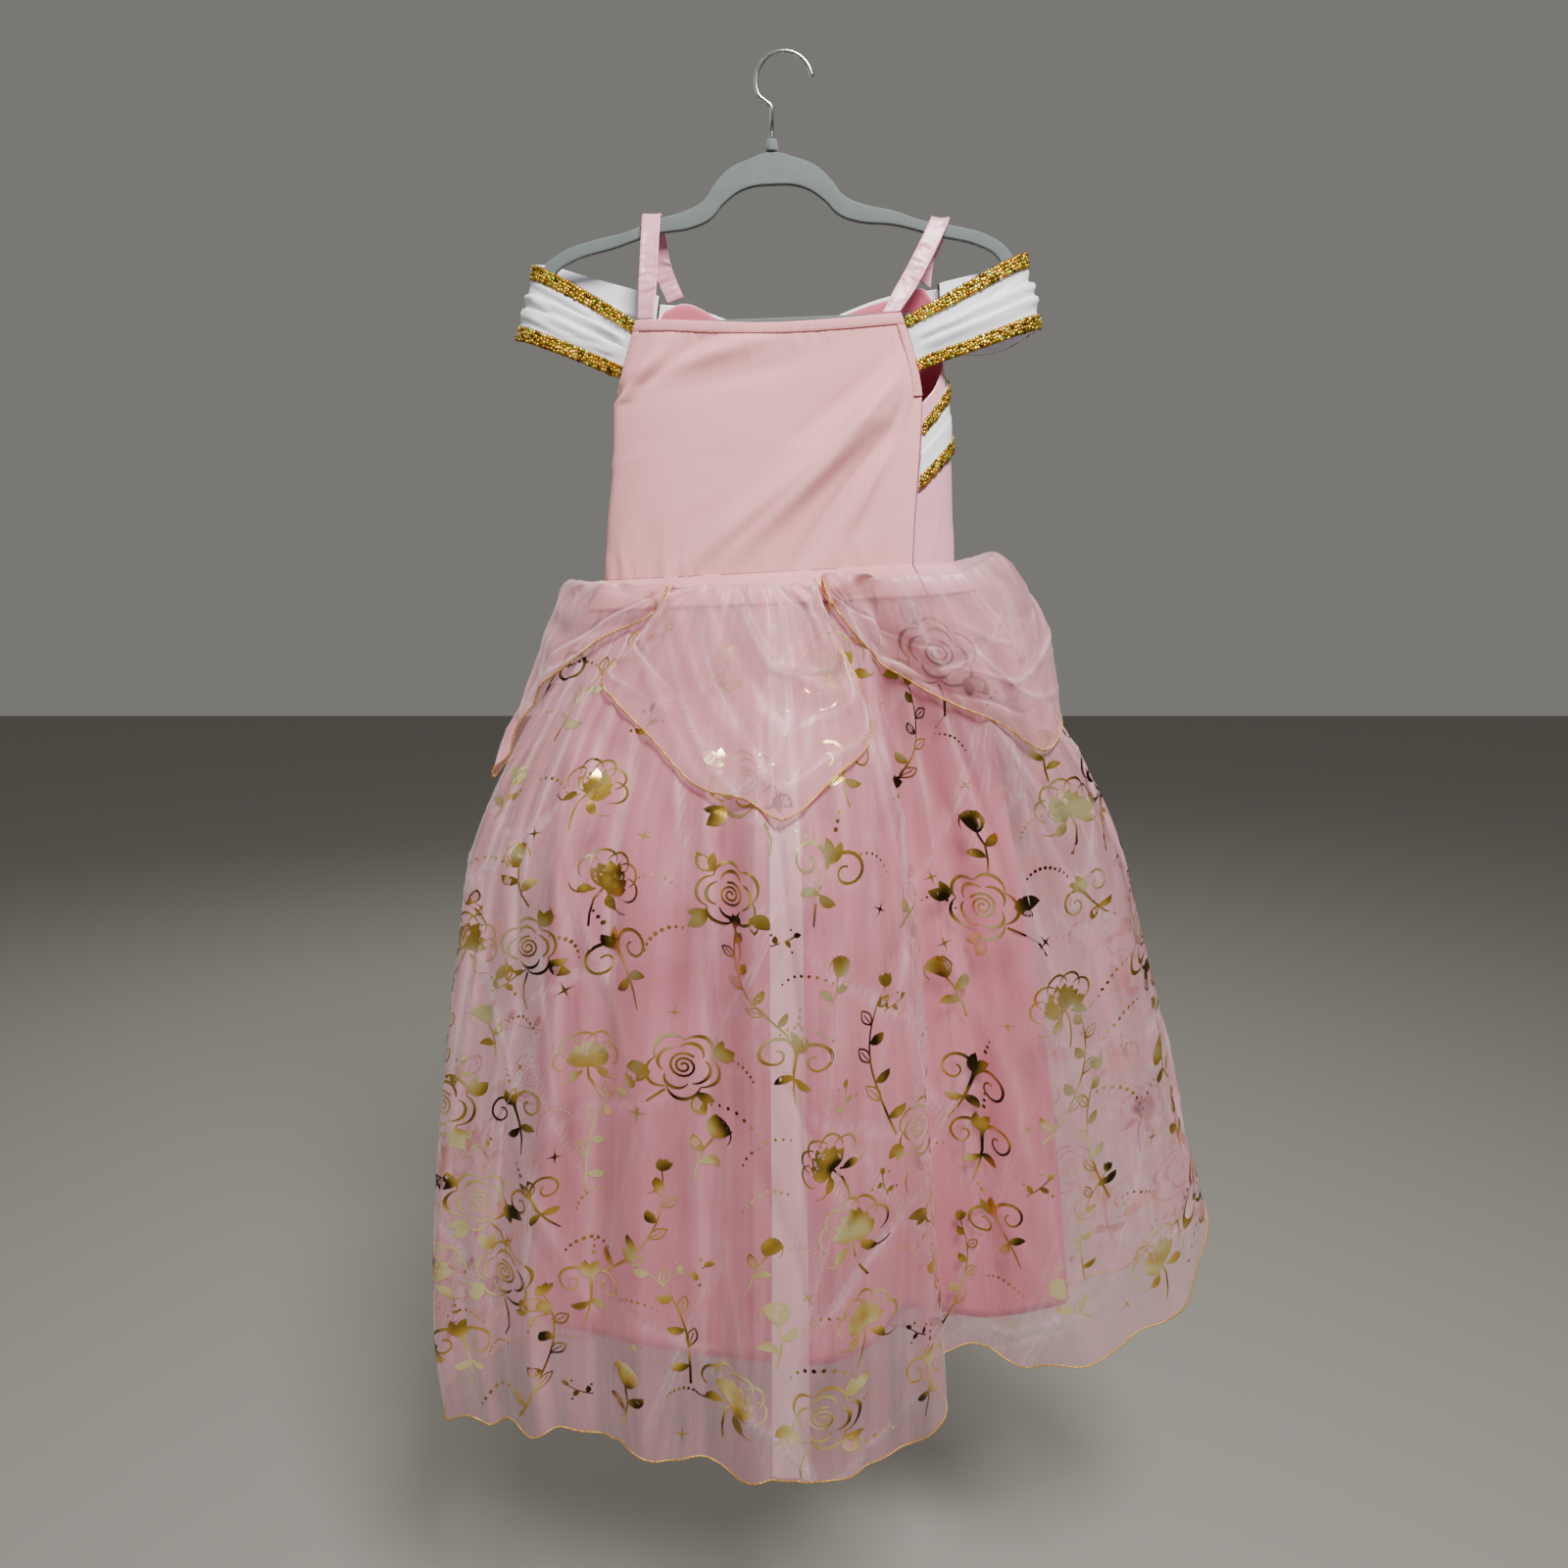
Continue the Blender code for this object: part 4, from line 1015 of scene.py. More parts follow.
@dataclass
class Hanger:
    """The flocked body with its bar, the chrome hook and the collar under it."""

    thickness: float = 6.0 * MM
    rounding: float = 1.8 * MM
    tilt: float = radians(2.1)
    stem_x: float = -7.6 * MM
    stem_top_z: float = -44.0 * MM
    collar_radius: float = 5.2 * MM
    collar_top_z: float = -69.0 * MM
    collar_height: float = 10.0 * MM
    wire_radius: float = 1.75 * MM
    hook_radius: float = 24.5 * MM
    hook_x: float = 3.2 * MM
    tip_angle: float = radians(14)
    swing_angle: float = radians(202)
    outside: tuple = (
        (0, 0), (20, -5), (38, -12.5), (52, -25.5), (61, -37), (76, -44.5), (106, -52), (130, -60.5),
        (162, -67), (188, -75), (206, -88), (212, -102), (208, -124), (194, -140), (165, -146), (80, -147),
    )
    inside: tuple = (
        (0, -27), (26, -30), (44, -41), (56, -53), (72, -59.5), (106, -64), (142, -74), (180, -84),
        (196, -94), (201, -106), (197, -122), (184, -133), (160, -136.5), (80, -137),
    )

    def build(self) -> None:
        """Make the body, the hook and the collar."""
        self.build_body()
        self.build_hook()
        self.build_collar()

    def as_mesh(self, curve: bpy.types.Curve, place: Matrix) -> bpy.types.Mesh:
        """Turn a curve into a mesh at its place."""
        holder = bpy.data.objects.new(curve.name, curve)
        bpy.context.scene.collection.objects.link(holder)
        bpy.context.view_layer.update()
        source = holder.evaluated_get(bpy.context.evaluated_depsgraph_get())
        mesh = bpy.data.meshes.new_from_object(source)
        mesh.transform(place)
        bpy.data.objects.remove(holder)
        form = bmesh.new()
        form.from_mesh(mesh)
        bmesh.ops.remove_doubles(form, verts=form.verts, dist=MERGE)
        bmesh.ops.recalc_face_normals(form, faces=form.faces)
        form.to_mesh(mesh)
        form.free()
        return mesh

    def build_body(self) -> None:
        """The flat moulded outline with rounded edges."""
        curve = bpy.data.curves.new("body_outline", "CURVE")
        curve.dimensions = "2D"
        curve.fill_mode = "BOTH"
        curve.extrude = self.thickness / 2 - self.rounding
        curve.bevel_depth = self.rounding
        curve.bevel_resolution = 3
        curve.offset = -self.rounding
        curve.resolution_u = 10
        for outline in (self.outside, self.inside):
            mirrored = [(-x, z) for x, z in reversed(outline) if x > 0]
            points = list(outline) + mirrored
            spline = curve.splines.new("BEZIER")
            spline.bezier_points.add(len(points) - 1)
            for knot, (x, z) in zip(spline.bezier_points, points):
                knot.co = (x * MM, z * MM, 0)
                knot.handle_left_type = knot.handle_right_type = "AUTO"
            spline.use_cyclic_u = True
        crown = (self.stem_x, 0.0, self.collar_top_z - self.collar_height - SEAM_GAP)
        place = (
            Matrix.Translation(crown)
            @ Matrix.Rotation(-self.tilt, 4, "Y")
            @ Matrix.Rotation(pi / 2, 4, "X")
        )
        mesh = self.as_mesh(curve, place)
        show("hanger_body_flocked", mesh, FLOCK, ["hanger_body"])

    def build_hook(self) -> None:
        """The bent wire with its round tip."""
        centre = Vector((self.hook_x, 0, self.wire_radius - self.hook_radius))
        arc = [
            centre + Vector((cos(a), 0, sin(a))) * self.hook_radius
            for a in np.linspace(self.swing_angle, self.tip_angle, 49)
        ]
        foot = Vector((self.stem_x, 0, self.collar_top_z + SEAM_GAP))
        start = Vector((self.stem_x, 0, self.stem_top_z))
        leave, arrive = Vector((0, 0, 0.014)), Vector((-0.004, 0, 0.014))
        bend = []
        for t in np.linspace(0, 1, 17)[1:-1]:
            bend.append(
                start * (2 * t**3 - 3 * t**2 + 1)
                + leave * (t**3 - 2 * t**2 + t)
                + arc[0] * (3 * t**2 - 2 * t**3)
                + arrive * (t**3 - t**2)
            )
        path = [foot, start, *bend, *arc]
        curve = bpy.data.curves.new("hook_line", "CURVE")
        curve.dimensions = "3D"
        curve.bevel_depth = self.wire_radius
        curve.bevel_resolution = 5
        curve.use_fill_caps = True
        spline = curve.splines.new("POLY")
        spline.points.add(len(path) - 1)
        for knot, point in zip(spline.points, path):
            knot.co = (*point, 1.0)
        mesh = self.as_mesh(curve, Matrix.Identity(4))
        form = bmesh.new()
        form.from_mesh(mesh)
        bmesh.ops.create_uvsphere(
            form, u_segments=16, v_segments=10, radius=self.wire_radius * 1.25,
            matrix=Matrix.Translation(path[-1]),
        )
        for turn in range(5):
            ring = foot.lerp(start, 0.04 + 0.045 * turn)
            bmesh.ops.create_uvsphere(
                form, u_segments=16, v_segments=6, radius=self.wire_radius * 1.16,
                matrix=Matrix.Translation(ring) @ Matrix.Diagonal((1, 1, 0.32, 1)),
            )
        form.to_mesh(mesh)
        form.free()
        show("hanger_hook_chromed", mesh, CHROME, ["hanger_hook"])

    def build_collar(self) -> None:
        """The short moulded collar, softened at both ends."""
        middle = Vector((self.stem_x, 0, self.collar_top_z - self.collar_height / 2))
        form = bmesh.new()
        bmesh.ops.create_cone(
            form, cap_ends=True, segments=32, radius1=self.collar_radius,
            radius2=self.collar_radius * 0.86, depth=self.collar_height, matrix=Matrix.Translation(middle),
        )
        rims = [edge for edge in form.edges if edge.calc_face_angle(0) > 1.0]
        bmesh.ops.bevel(
            form, geom=rims, offset=1.4 * MM, segments=3, profile=0.5, affect="EDGES", material=-1,
        )
        mesh = finished(form, "hanger_collar_flocked")
        show("hanger_collar_flocked", mesh, FLOCK, ["hanger_collar"])


@dataclass
class Bodice:
    """The knit back, the satin front with its lining and bands, and the two straps."""

    binding_width: float = 9.0 * MM
    binding_foot: float = 0.68
    binding_reach: float = 0.03
    panel_height: float = 220.0 * MM
    overlap: float = 0.12
    over_lift: float = 2.0 * MM
    band_lift: float = 2.0 * MM
    binding_lift: float = 0.85 * MM
    stitch_lift: float = 2.2 * MM
    knit_wall: float = 0.9 * MM
    satin_wall: float = 0.7 * MM
    lining_wall: float = 0.8 * MM
    back_cells: Cells = (150, 120)
    foot_rows: int = 14
    front_foot_rows: int = 10
    binding_cells: int = 8
    front_cells: Cells = (180, 80)
    front_top_share: float = 0.985
    lining_cells: Cells = (150, 60)
    lining_top_share: float = 0.98
    band_cells: Cells = (220, 40)
    strap_cells: Cells = (14, 130)
    long_samples: int = 200
    short_samples: int = 60
    strap_width: float = 16.0 * MM
    strap_gap: float = 0.9 * MM
    strap_turn: float = 0.22
    top_binding_size: Pair = (0.24, 0.0105)
    armhole_binding_size: Pair = (0.0105, 0.06)
    back_size: Pair = (0.27, 0.246)
    front_size: Pair = (0.36, 0.25)
    front_flat: Pair = (0.36, 0.276)
    lining_area: float = 0.078
    front_area: float = 0.087
    neckline_band: tuple = (
        (4 / 32, -246, -190), (0.200, -244, -189), (0.447, -260, -211), (0.588, -283, -235),
        (0.754, -261, -210), (0.880, -251, -200.5), (30 / 32, -252, -200),
    )
    side_band: tuple = (
        (0.000, -369, -310), (0.080, -339, -277), (0.150, -323, -263), (0.350, -331, -273),
        (0.588, -354, -299), (0.800, -333, -276), (0.930, -324, -266), (0.965, -334, -277),
        (1.000, -350, -293),
    )
    straps: tuple = (
        (
            "left", 0.042, 0.895,
            (
                (-115.8, -14, -180), (-113.8, -7, -142), (-113.4, -4.6, -134), (-113, 0, -130.6),
                (-112.6, 4.6, -134), (-111, 9, -145), (-106, 18, -172),
            ),
        ),
        (
            "right", 0.962, 0.172,
            (
                (118, -14, -180), (136.5, -7, -143), (139.5, -4.6, -136.5), (140.7, 0, -133.2),
                (140.2, 4.6, -136.5), (137.5, 9, -147), (130, 17, -166),
            ),
        ),
    )

    def build(self) -> None:
        """Make every piece of the bodice."""
        self.build_back()
        self.build_front()
        for strap in self.straps:
            self.build_strap(*strap)

    def back_creases(self) -> list[Crease]:
        """The pulls of the back panel, in mm from its low left corner."""
        return [
            Crease(196, 96, 0.86, 92, 11, 8.0), Crease(218, 72, 1.02, 80, 8, -5.0),
            Crease(166, 76, 0.74, 90, 12, 6.5), Crease(180, 84, 0.8, 80, 7, -4.5),
            Crease(238, 92, 1.2, 60, 6, 5.0), Crease(247, 120, 1.35, 34, 4, -2.4),
            Crease(226, 140, 0.95, 44, 7, 5.0), Crease(205, 150, 0.72, 60, 8, -2.2),
            Crease(30, 176, 1.2, 34, 7, 4.5), Crease(50, 184, 0.6, 40, 8, -4.0),
            Crease(22, 150, 1.45, 44, 5, 2.2), Crease(80, 192, 0.3, 60, 9, 4.2),
            Crease(120, 176, 0.25, 70, 12, -1.8), Crease(120, 30, 1.5, 40, 12, 1.4),
            Crease(60, 20, 1.7, 30, 8, -1.2), Crease(20, 70, 1.5, 60, 7, 1.2),
            *scattered(11, 26, (0, 0, 270, 22), (1.3, 1.85), (9, 20), (2.5, 4.5), 1.1),
            *scattered(12, 22, (0, 196, 270, 214), (1.2, 1.9), (7, 14), (2.2, 4.0), 0.7),
            *scattered(13, 16, (0, 20, 270, 200), (-0.4, 1.2), (20, 50), (6, 14), 0.7),
        ]

    def build_back(self) -> None:
        """The knit panel, its bindings and their stitches."""
        creases = self.back_creases()
        width = self.back_size[0]

        def pulled(u: Array, v: Array) -> Array:
            fade = rise(u, 0.0, 0.05) * (1 - rise(u, 0.95, 1.0))
            lift = 1.3 * creased(u * width / MM, v * self.panel_height / MM, creases)
            return np.maximum(lift, -3.0 * MM) * fade * (1 - 0.7 * rise(v, 0.93, 0.97))

        def waist_angle(u: Array) -> Array:
            left = FORM.side_angle(False, FORM.waist_z) + HALF_GAP_ANGLE
            right = FORM.side_angle(True, FORM.waist_z) - HALF_GAP_ANGLE
            return FORM.angle_between(left, right, u)

        lay = Lay(moved_out(FORM.back_panel, pulled), *self.back_cells)
        panel = cloth(
            "back_bodice_knit", self.run_over_waist(lay, waist_angle, 1.0),
            (self.back_cells[0], self.back_cells[1] + self.foot_rows), self.back_size, KNIT, "pink_knit",
            ["back_bodice"], wall=self.knit_wall,
        )
        top_row = 1 - self.binding_width / self.panel_height
        rows = (self.binding_foot, top_row - SEAM_GAP / self.panel_height)
        reach = self.binding_reach
        self.bind("back_top_binding", lay, (0.0, 1.0), (top_row, 1.0), True)
        self.bind("armhole_binding_left", lay, (0.0, reach), rows, False)
        self.bind("armhole_binding_right", lay, (1 - reach, 1.0), rows, False)
        across = np.linspace(0.012, 0.988, self.long_samples)
        up = np.linspace(rows[0] + 0.01, rows[1], self.short_samples)
        lines = [(across, np.full_like(across, top_row + s * (1 - top_row))) for s in (0.25, 0.5)]
        lines += [(np.full_like(up, place), up) for place in (reach * 0.78, 1 - reach * 0.78)]
        look = (PINK_THREAD, "pink_binding")
        sewn = row_of_stitches("binding_stitches", lay, lines, self.stitch_lift, *look)

    def bind(self, name: str, lay: Lay, columns: Pair, rows: Pair, level: bool) -> None:
        """Sew one binding along an edge of the back panel.

        Args:
            name: the binding's name, which is its solid's.
            lay: the back panel.
            columns: the shares of the panel's width that it covers.
            rows: the shares of the panel's height that it covers.
            level: whether it runs across the panel and not up it.
        """
        flat = self.top_binding_size if level else self.armhole_binding_size
        cells, size = (self.binding_cells, self.short_samples), (self.binding_width, flat[1])
        if level:
            cells, size = (self.back_cells[0], cells[0]), (self.back_size[0], self.binding_width)
        surface = self.rolled(lay.patch(columns, rows, self.binding_lift), level)
        look = (KNIT_BINDING, "pink_binding")
        piece = cloth(f"{name}_knit", surface, cells, size, *look, [name], wall=self.lining_wall)

    def run_over_waist(self, lay: Lay, waist_angle: Callable[[Array], Array], top: float) -> Surface:
        """A panel's surface whose foot runs down over the top of the skirt.

        Args:
            lay: the panel above the waist.
            waist_angle: the angle round the waist at a share across the panel.
            top: the share up the panel where it ends.
        Returns:
            The longer surface.
        """
        shares, angles = even_angles(*OVERSKIRT.waist_ring())

        def hemmed(u: Array, v: Array) -> Array:
            height = v * (top + self.overlap) - self.overlap
            below = np.maximum(-height, 0)
            points = lay.at(u, np.maximum(height, 0))
            drop = below * self.panel_height / OVERSKIRT.length
            share = np.interp(waist_angle(u) % (2 * pi), angles, shares)
            under = OVERSKIRT.base(share, drop) + OVERSKIRT.outward(share, drop) * self.over_lift
            mixed = rise(below, 0.0, 0.1)[..., None]
            return points * (1 - mixed) + under * mixed

        return hemmed

    def rolled(self, surface: Surface, level: bool) -> Surface:
        """A binding's surface, puffed between its edges and puckered along its stitches."""

        def puffed(u: Array, v: Array) -> Array:
            share, run = (v, u) if level else (u, v)
            pucker = 0.12 * MM * np.sin(run * (260 if level else 70))
            return 0.75 * MM * np.sin(pi * np.clip(share, 0, 1)) ** 0.6 + pucker

        return moved_out(surface, puffed)

    def build_front(self) -> None:
        """The satin panel, its lining and its two white bands with their braids."""
        width, height = self.front_size
        creases = [
            *scattered(21, 60, (0, 0, 360, 30), (1.3, 1.85), (10, 30), (3, 6), 1.0),
            *scattered(22, 34, (0, 10, 360, 230), (0.9, 2.2), (25, 70), (5, 12), 0.9),
            Crease(22, 60, 1.45, 60, 4, 0.9), Crease(34, 40, 1.7, 50, 5, -0.9),
        ]

        def pulled(u: Array, v: Array) -> Array:
            fade = rise(u, 0.0, 0.03) * (1 - rise(u, 0.97, 1.0)) * (1 - rise(v, 0.9, 1.0))
            lift = creased(u * width / MM, v * height / MM, creases)
            return np.clip(lift, -0.25 * MM, 0.7 * MM) * fade

        def waist_angle(u: Array) -> Array:
            return FORM.front_angle(u, np.full(np.shape(u), FORM.waist_z))

        satin = Lay(moved_out(FORM.front_panel, pulled), *self.front_cells)
        panel = cloth(
            "front_bodice_satin", self.run_over_waist(satin, waist_angle, self.front_top_share),
            (self.front_cells[0], self.front_cells[1] + self.front_foot_rows), self.front_size, PINK_SATIN,
            "pink_satin", ["front_bodice"], wall=self.satin_wall,
        )
        inner = Lay(moved_out(FORM.front_panel, -LAYER), *self.lining_cells)
        lining = cloth(
            "front_lining_cloth", inner.patch((0, 1), (0, self.lining_top_share), 0.0), self.lining_cells,
            self.front_size, ROSE_LINING, "rose_lining", ["front_lining"], wall=self.lining_wall,
        )
        self.build_band("neckline_band", self.neckline_band, (0.29, 0.055))
        self.build_band("side_band", self.side_band, (0.36, 0.061))

    def build_band(self, name: str, rows: tuple, flat: Pair) -> None:
        """One white band over the front panel.

        Args:
            name: the band's name, which is its solid's.
            rows: place, lower height and upper height along it.
            flat: its cut width and length, in metres.
        """
        edges = Track(rows)
        first, last = rows[0][0], rows[-1][0]
        creases = scattered(
            len(name), 40, (0, 14, 360, 46), (-0.5, 0.5), (14, 40), (2, 4), 0.9, Edge.PRESSED
        )

        def band(u: Array, v: Array) -> Array:
            place = first + (last - first) * u
            low_high = edges.at(place) * MM
            z = low_high[..., 0] + (low_high[..., 1] - low_high[..., 0]) * v
            middle = np.sin(pi * np.clip((v - 0.2) / 0.6, 0, 1))
            lift = creased(u * flat[0] / MM, v * flat[1] / MM, creases) * middle
            fold = 0.8 * MM * rise(v, 0.3, 0.5) * (1 - rise(v, 0.52, 0.56))
            out = self.band_lift + np.clip(lift, -0.4 * MM, 1.0 * MM) + fold
            return FORM.on(FORM.front_angle(place, z), z, out)

        lay = Lay(band, *self.band_cells)
        look = (WHITE_SATIN, "white_satin")
        surface = lay.patch()
        wall = self.lining_wall
        piece = cloth(f"{name}_satin", surface, self.band_cells, flat, *look, [name], wall=wall)
        trims = Trim().sew_pair(name, lay)

    def strap_root(self, panel: Surface, share: float) -> tuple[Array, Array]:
        """Where a strap meets a panel's top edge, and that edge's direction."""
        top = np.ones(3)
        step = 0.01
        near = panel(np.array((share - step, share, share + step)), top)
        step *= self.strap_width / np.linalg.norm(near[2] - near[0])
        ends = panel(np.array((share - step, share, share + step)), top)
        middle = ends[1] + np.array((0, 0, self.strap_gap))
        return middle, unit(ends[2] - ends[0])

    def build_strap(self, side: str, back_share: float, front_share: float, line: tuple) -> None:
        """One satin strap over the hanger's arm, turned in at its edges and top-stitched.

        Args:
            side: "left" or "right".
            back_share: its root's share of the back panel's top edge.
            front_share: its root's share of the front panel's top edge.
            line: the middle line of its underside between the roots, in mm.
        """
        back, back_way = self.strap_root(FORM.back_panel, back_share)
        front, front_way = self.strap_root(FORM.front_panel, front_share)
        points = np.vstack((back, np.array(line) * MM, front))
        run = np.concatenate(([0], np.cumsum(np.linalg.norm(np.diff(points, axis=0), axis=1))))
        path = Track(np.column_stack((run / run[-1], points)))
        ripples = scattered(31 + len(side), 46, (0, 0, 16, 240), (-0.3, 1.0), (6, 13), (1.2, 3.0), 0.8)

        def ribbon(u: Array, v: Array) -> Array:
            ahead = unit(path.at(np.minimum(v + 0.01, 1.0)) - path.at(np.maximum(v - 0.01, 0.0)))
            out = unit(np.stack((np.zeros_like(v), -ahead[..., 2], ahead[..., 1]), axis=-1))
            across = unit(np.cross(ahead, out))
            turned = rise(v, 0, self.strap_turn)[..., None]
            across = back_way * (1 - turned) + across * turned
            turned = rise(v, 1 - self.strap_turn, 1)[..., None]
            across = unit(across * (1 - turned) - front_way * turned)
            width = self.strap_width * (u - 0.5)
            hem = 0.35 * MM * rise(np.abs(u - 0.5), 0.28, 0.36)
            slack = 0.3 * MM * np.sin(v * 34 + u * 3) * rise(np.abs(v - 0.5), 0.1, 0.2)
            lift = creased(u * 16, v * 240, ripples) + hem + np.maximum(slack, 0)
            lift = lift * rise(np.abs(v - 0.5), 0.03, 0.1)
            return path.at(v) + across * width[..., None] + out * lift[..., None]

        lay = Lay(ribbon, *self.strap_cells)
        name = f"strap_{side}"
        size = (self.strap_width, float(run[-1]))
        strap = cloth(
            f"{name}_satin", lay.patch(), self.strap_cells, size, PINK_SATIN, "pink_satin", [name],
            wall=CLOTH,
        )
        up = np.linspace(0.01, 0.99, self.long_samples)
        lines = [(np.full_like(up, place), up) for place in (0.1, 0.9)]
        lift = CLOTH + 0.1 * MM
        stitches = row_of_stitches(f"{name}_stitches", lay, lines, lift, PINK_THREAD, "pink_satin")


@dataclass
class Sleeve:
    """An off-shoulder band of white satin round the hanger's end, pleated, with braids."""

    right: bool
    stations: tuple
    band_place: float
    gap_angle: float
    band_gap: float = 0.007
    band_lift: float = 2.0 * MM
    cells: Cells = (200, 60)
    wall: float = 0.9 * MM
    flat: Pair = (0.25, 0.062)

    def surface(self, detail: Callable[[Array, Array], Array]) -> Surface:
        """The loop, u round it and v from its lower edge to its upper."""
        path = Track(self.stations)
        side = 1 if self.right else -1
        end_place = self.band_place - side * self.band_gap

        def loop(u: Array, v: Array) -> Array:
            rows = path.at(u) * MM
            top_x, top_z, bottom_x, bottom_z, y = (rows[..., k] for k in range(5))
            x = bottom_x + (top_x - bottom_x) * v
            return np.stack((x, y, bottom_z + (top_z - bottom_z) * v), axis=-1)

        def place(u: Array, v: Array) -> Array:
            w = u if self.right else 1 - u
            points = loop(w, v)
            root, tip = loop(np.zeros_like(w), v), loop(np.ones_like(w), v)
            edge_angle = FORM.side_angle(self.right, root[..., 2]) + self.gap_angle
            edge = FORM.on(edge_angle, root[..., 2], 0.0)
            front_angle = FORM.front_angle(np.full_like(w, end_place), tip[..., 2])
            front = FORM.on(front_angle, tip[..., 2], self.band_lift)
            points += (edge - root) * (1 - rise(w, 0, 0.25))[..., None]
            points += (front - tip) * rise(w, 0.75, 1.0)[..., None]
            return points

        return moved_out(place, detail)

    def build(self) -> None:
        """Make the band and its braids."""
        width, height = self.flat
        first, second = 41 + self.right, 45 + self.right
        pulls = [
            *scattered(first, 30, (0, 14, 250, 50), (-0.25, 0.25), (25, 70), (2, 5), 1.3),
            *scattered(second, 22, (0, 16, 250, 48), (-0.5, 0.5), (10, 26), (1.2, 2.2), 0.9, Edge.PRESSED),
        ]

        def detail(u: Array, v: Array) -> Array:
            middle = np.sin(pi * np.clip((v - 0.19) / 0.62, 0, 1)) ** 0.7
            ends = rise(u, 0.0, 0.08) * (1 - rise(u, 0.92, 1.0))
            bend = v + 0.03 * np.sin(4.5 * u)
            tuck = 2.6 * MM * rise(bend, 0.24, 0.42) * (1 - rise(bend, 0.43, 0.46))
            tuck = tuck + 2.4 * MM * rise(bend, 0.46, 0.60) * (1 - rise(bend, 0.61, 0.64))
            under = -1.2 * MM * rise(bend, 0.62, 0.65) * (1 - rise(bend, 0.65, 0.78))
            lift = creased(u * width / MM, v * height / MM, pulls) * middle
            sag = 0.8 * MM * np.sin(u * 9 + v * 2) * middle
            return (np.clip(lift, -1.2 * MM, 1.6 * MM) + tuck + under + sag) * ends

        lay = Lay(self.surface(detail), *self.cells)
        name = "sleeve_right" if self.right else "sleeve_left"
        piece = cloth(
            f"{name}_satin", lay.patch(), self.cells, self.flat, WHITE_SATIN, "white_satin", [name],
            wall=self.wall,
        )
        Trim().sew_pair(name, lay)


@dataclass(frozen=True)
class SkirtForm:
    """A skirt's form: a ring at each drop, spread from the waist to the hem."""

    stations: tuple
    levels: tuple
    inset: float
    folds: tuple = ()
    waves: float = 0.0
    gathers: float = 0.0
    gather_count: int = 48
    hem_waves: int = 27
    length: float = 830.0 * MM
    drop_from_seam: float = 1.2 * MM

    def waist_ring(self) -> tuple[float, float, float]:
        """The waist's middle, half width and half depth."""
        _, middle_x, half_width, half_depth = FORM.levels[0]
        return middle_x * MM, half_width * MM - self.inset, half_depth * MM - self.inset

    def base(self, share: Array, drop: Array) -> Array:
        """The smooth form without folds, at shares of the waist and drops."""
        share = np.asarray(share, float) % 1.0
        ring = self.waist_ring()
        waist_x, waist_y = ring_point(np.interp(share, *even_angles(*ring)), *ring)
        hem = Track(self.stations, closed=True).at(share) * MM
        sides = Track(self.levels).at(drop)
        lean = rise(waist_x, -120 * MM, 120 * MM)
        spread = sides[..., 0] + (sides[..., 1] - sides[..., 0]) * lean
        depth_spread = np.maximum(spread, rise(drop, 0.0, 0.35))
        start_z = FORM.waist_z + FORM.waist_slope * waist_x - self.drop_from_seam
        return np.stack(
            (
                waist_x + (hem[..., 0] - waist_x) * spread,
                waist_y + (hem[..., 1] - waist_y) * depth_spread, start_z + (hem[..., 2] - start_z) * drop,
            ),
            axis=-1,
        )

    def outward(self, share: Array, drop: Array) -> Array:
        """The directions out of the skirt."""
        step = 0.006
        across = self.base(share + step, drop) - self.base(share - step, drop)
        up = self.base(share, np.maximum(drop - step, 0)) - self.base(share, drop + step)
        return unit(np.cross(across, up))

    def fold_out(self, share: Array, drop: Array) -> Array:
        """How far the soft folds push the skirt out."""
        out = np.zeros(np.shape(share))
        for fold_share, width, depth, top in self.folds:
            away = (share - fold_share + 0.5) % 1.0 - 0.5
            out += depth * MM * bell(away, width) * rise(drop, top - 0.1, top + 0.3)
        return out

    def gather_height(self, drop: Array) -> Array:
        """The height of the gathers at a drop."""
        fade = rise(drop, 0.0, 0.05) * (1 - 0.85 * rise(drop, 0.08, 0.45))
        return self.gathers * fade * (1 - rise(drop, 0.45, 0.8))

    def place(
        self, share: Array, drop: Array, detail: Callable[[Array, Array], Array] | None = None
    ) -> Array:
        """Points of the skirt with its gathers, folds, creases and hem waves."""
        wave = np.cos(2 * pi * self.gather_count * share)
        out = self.fold_out(share, drop) + self.gather_height(drop) * wave
        if detail is not None:
            out = out + detail(share, drop)
        points = self.base(share, drop) + self.outward(share, drop) * out[..., None]
        points[..., 2] += (self.waves * np.sin(2 * pi * self.hem_waves * share) * drop**6)
        return points


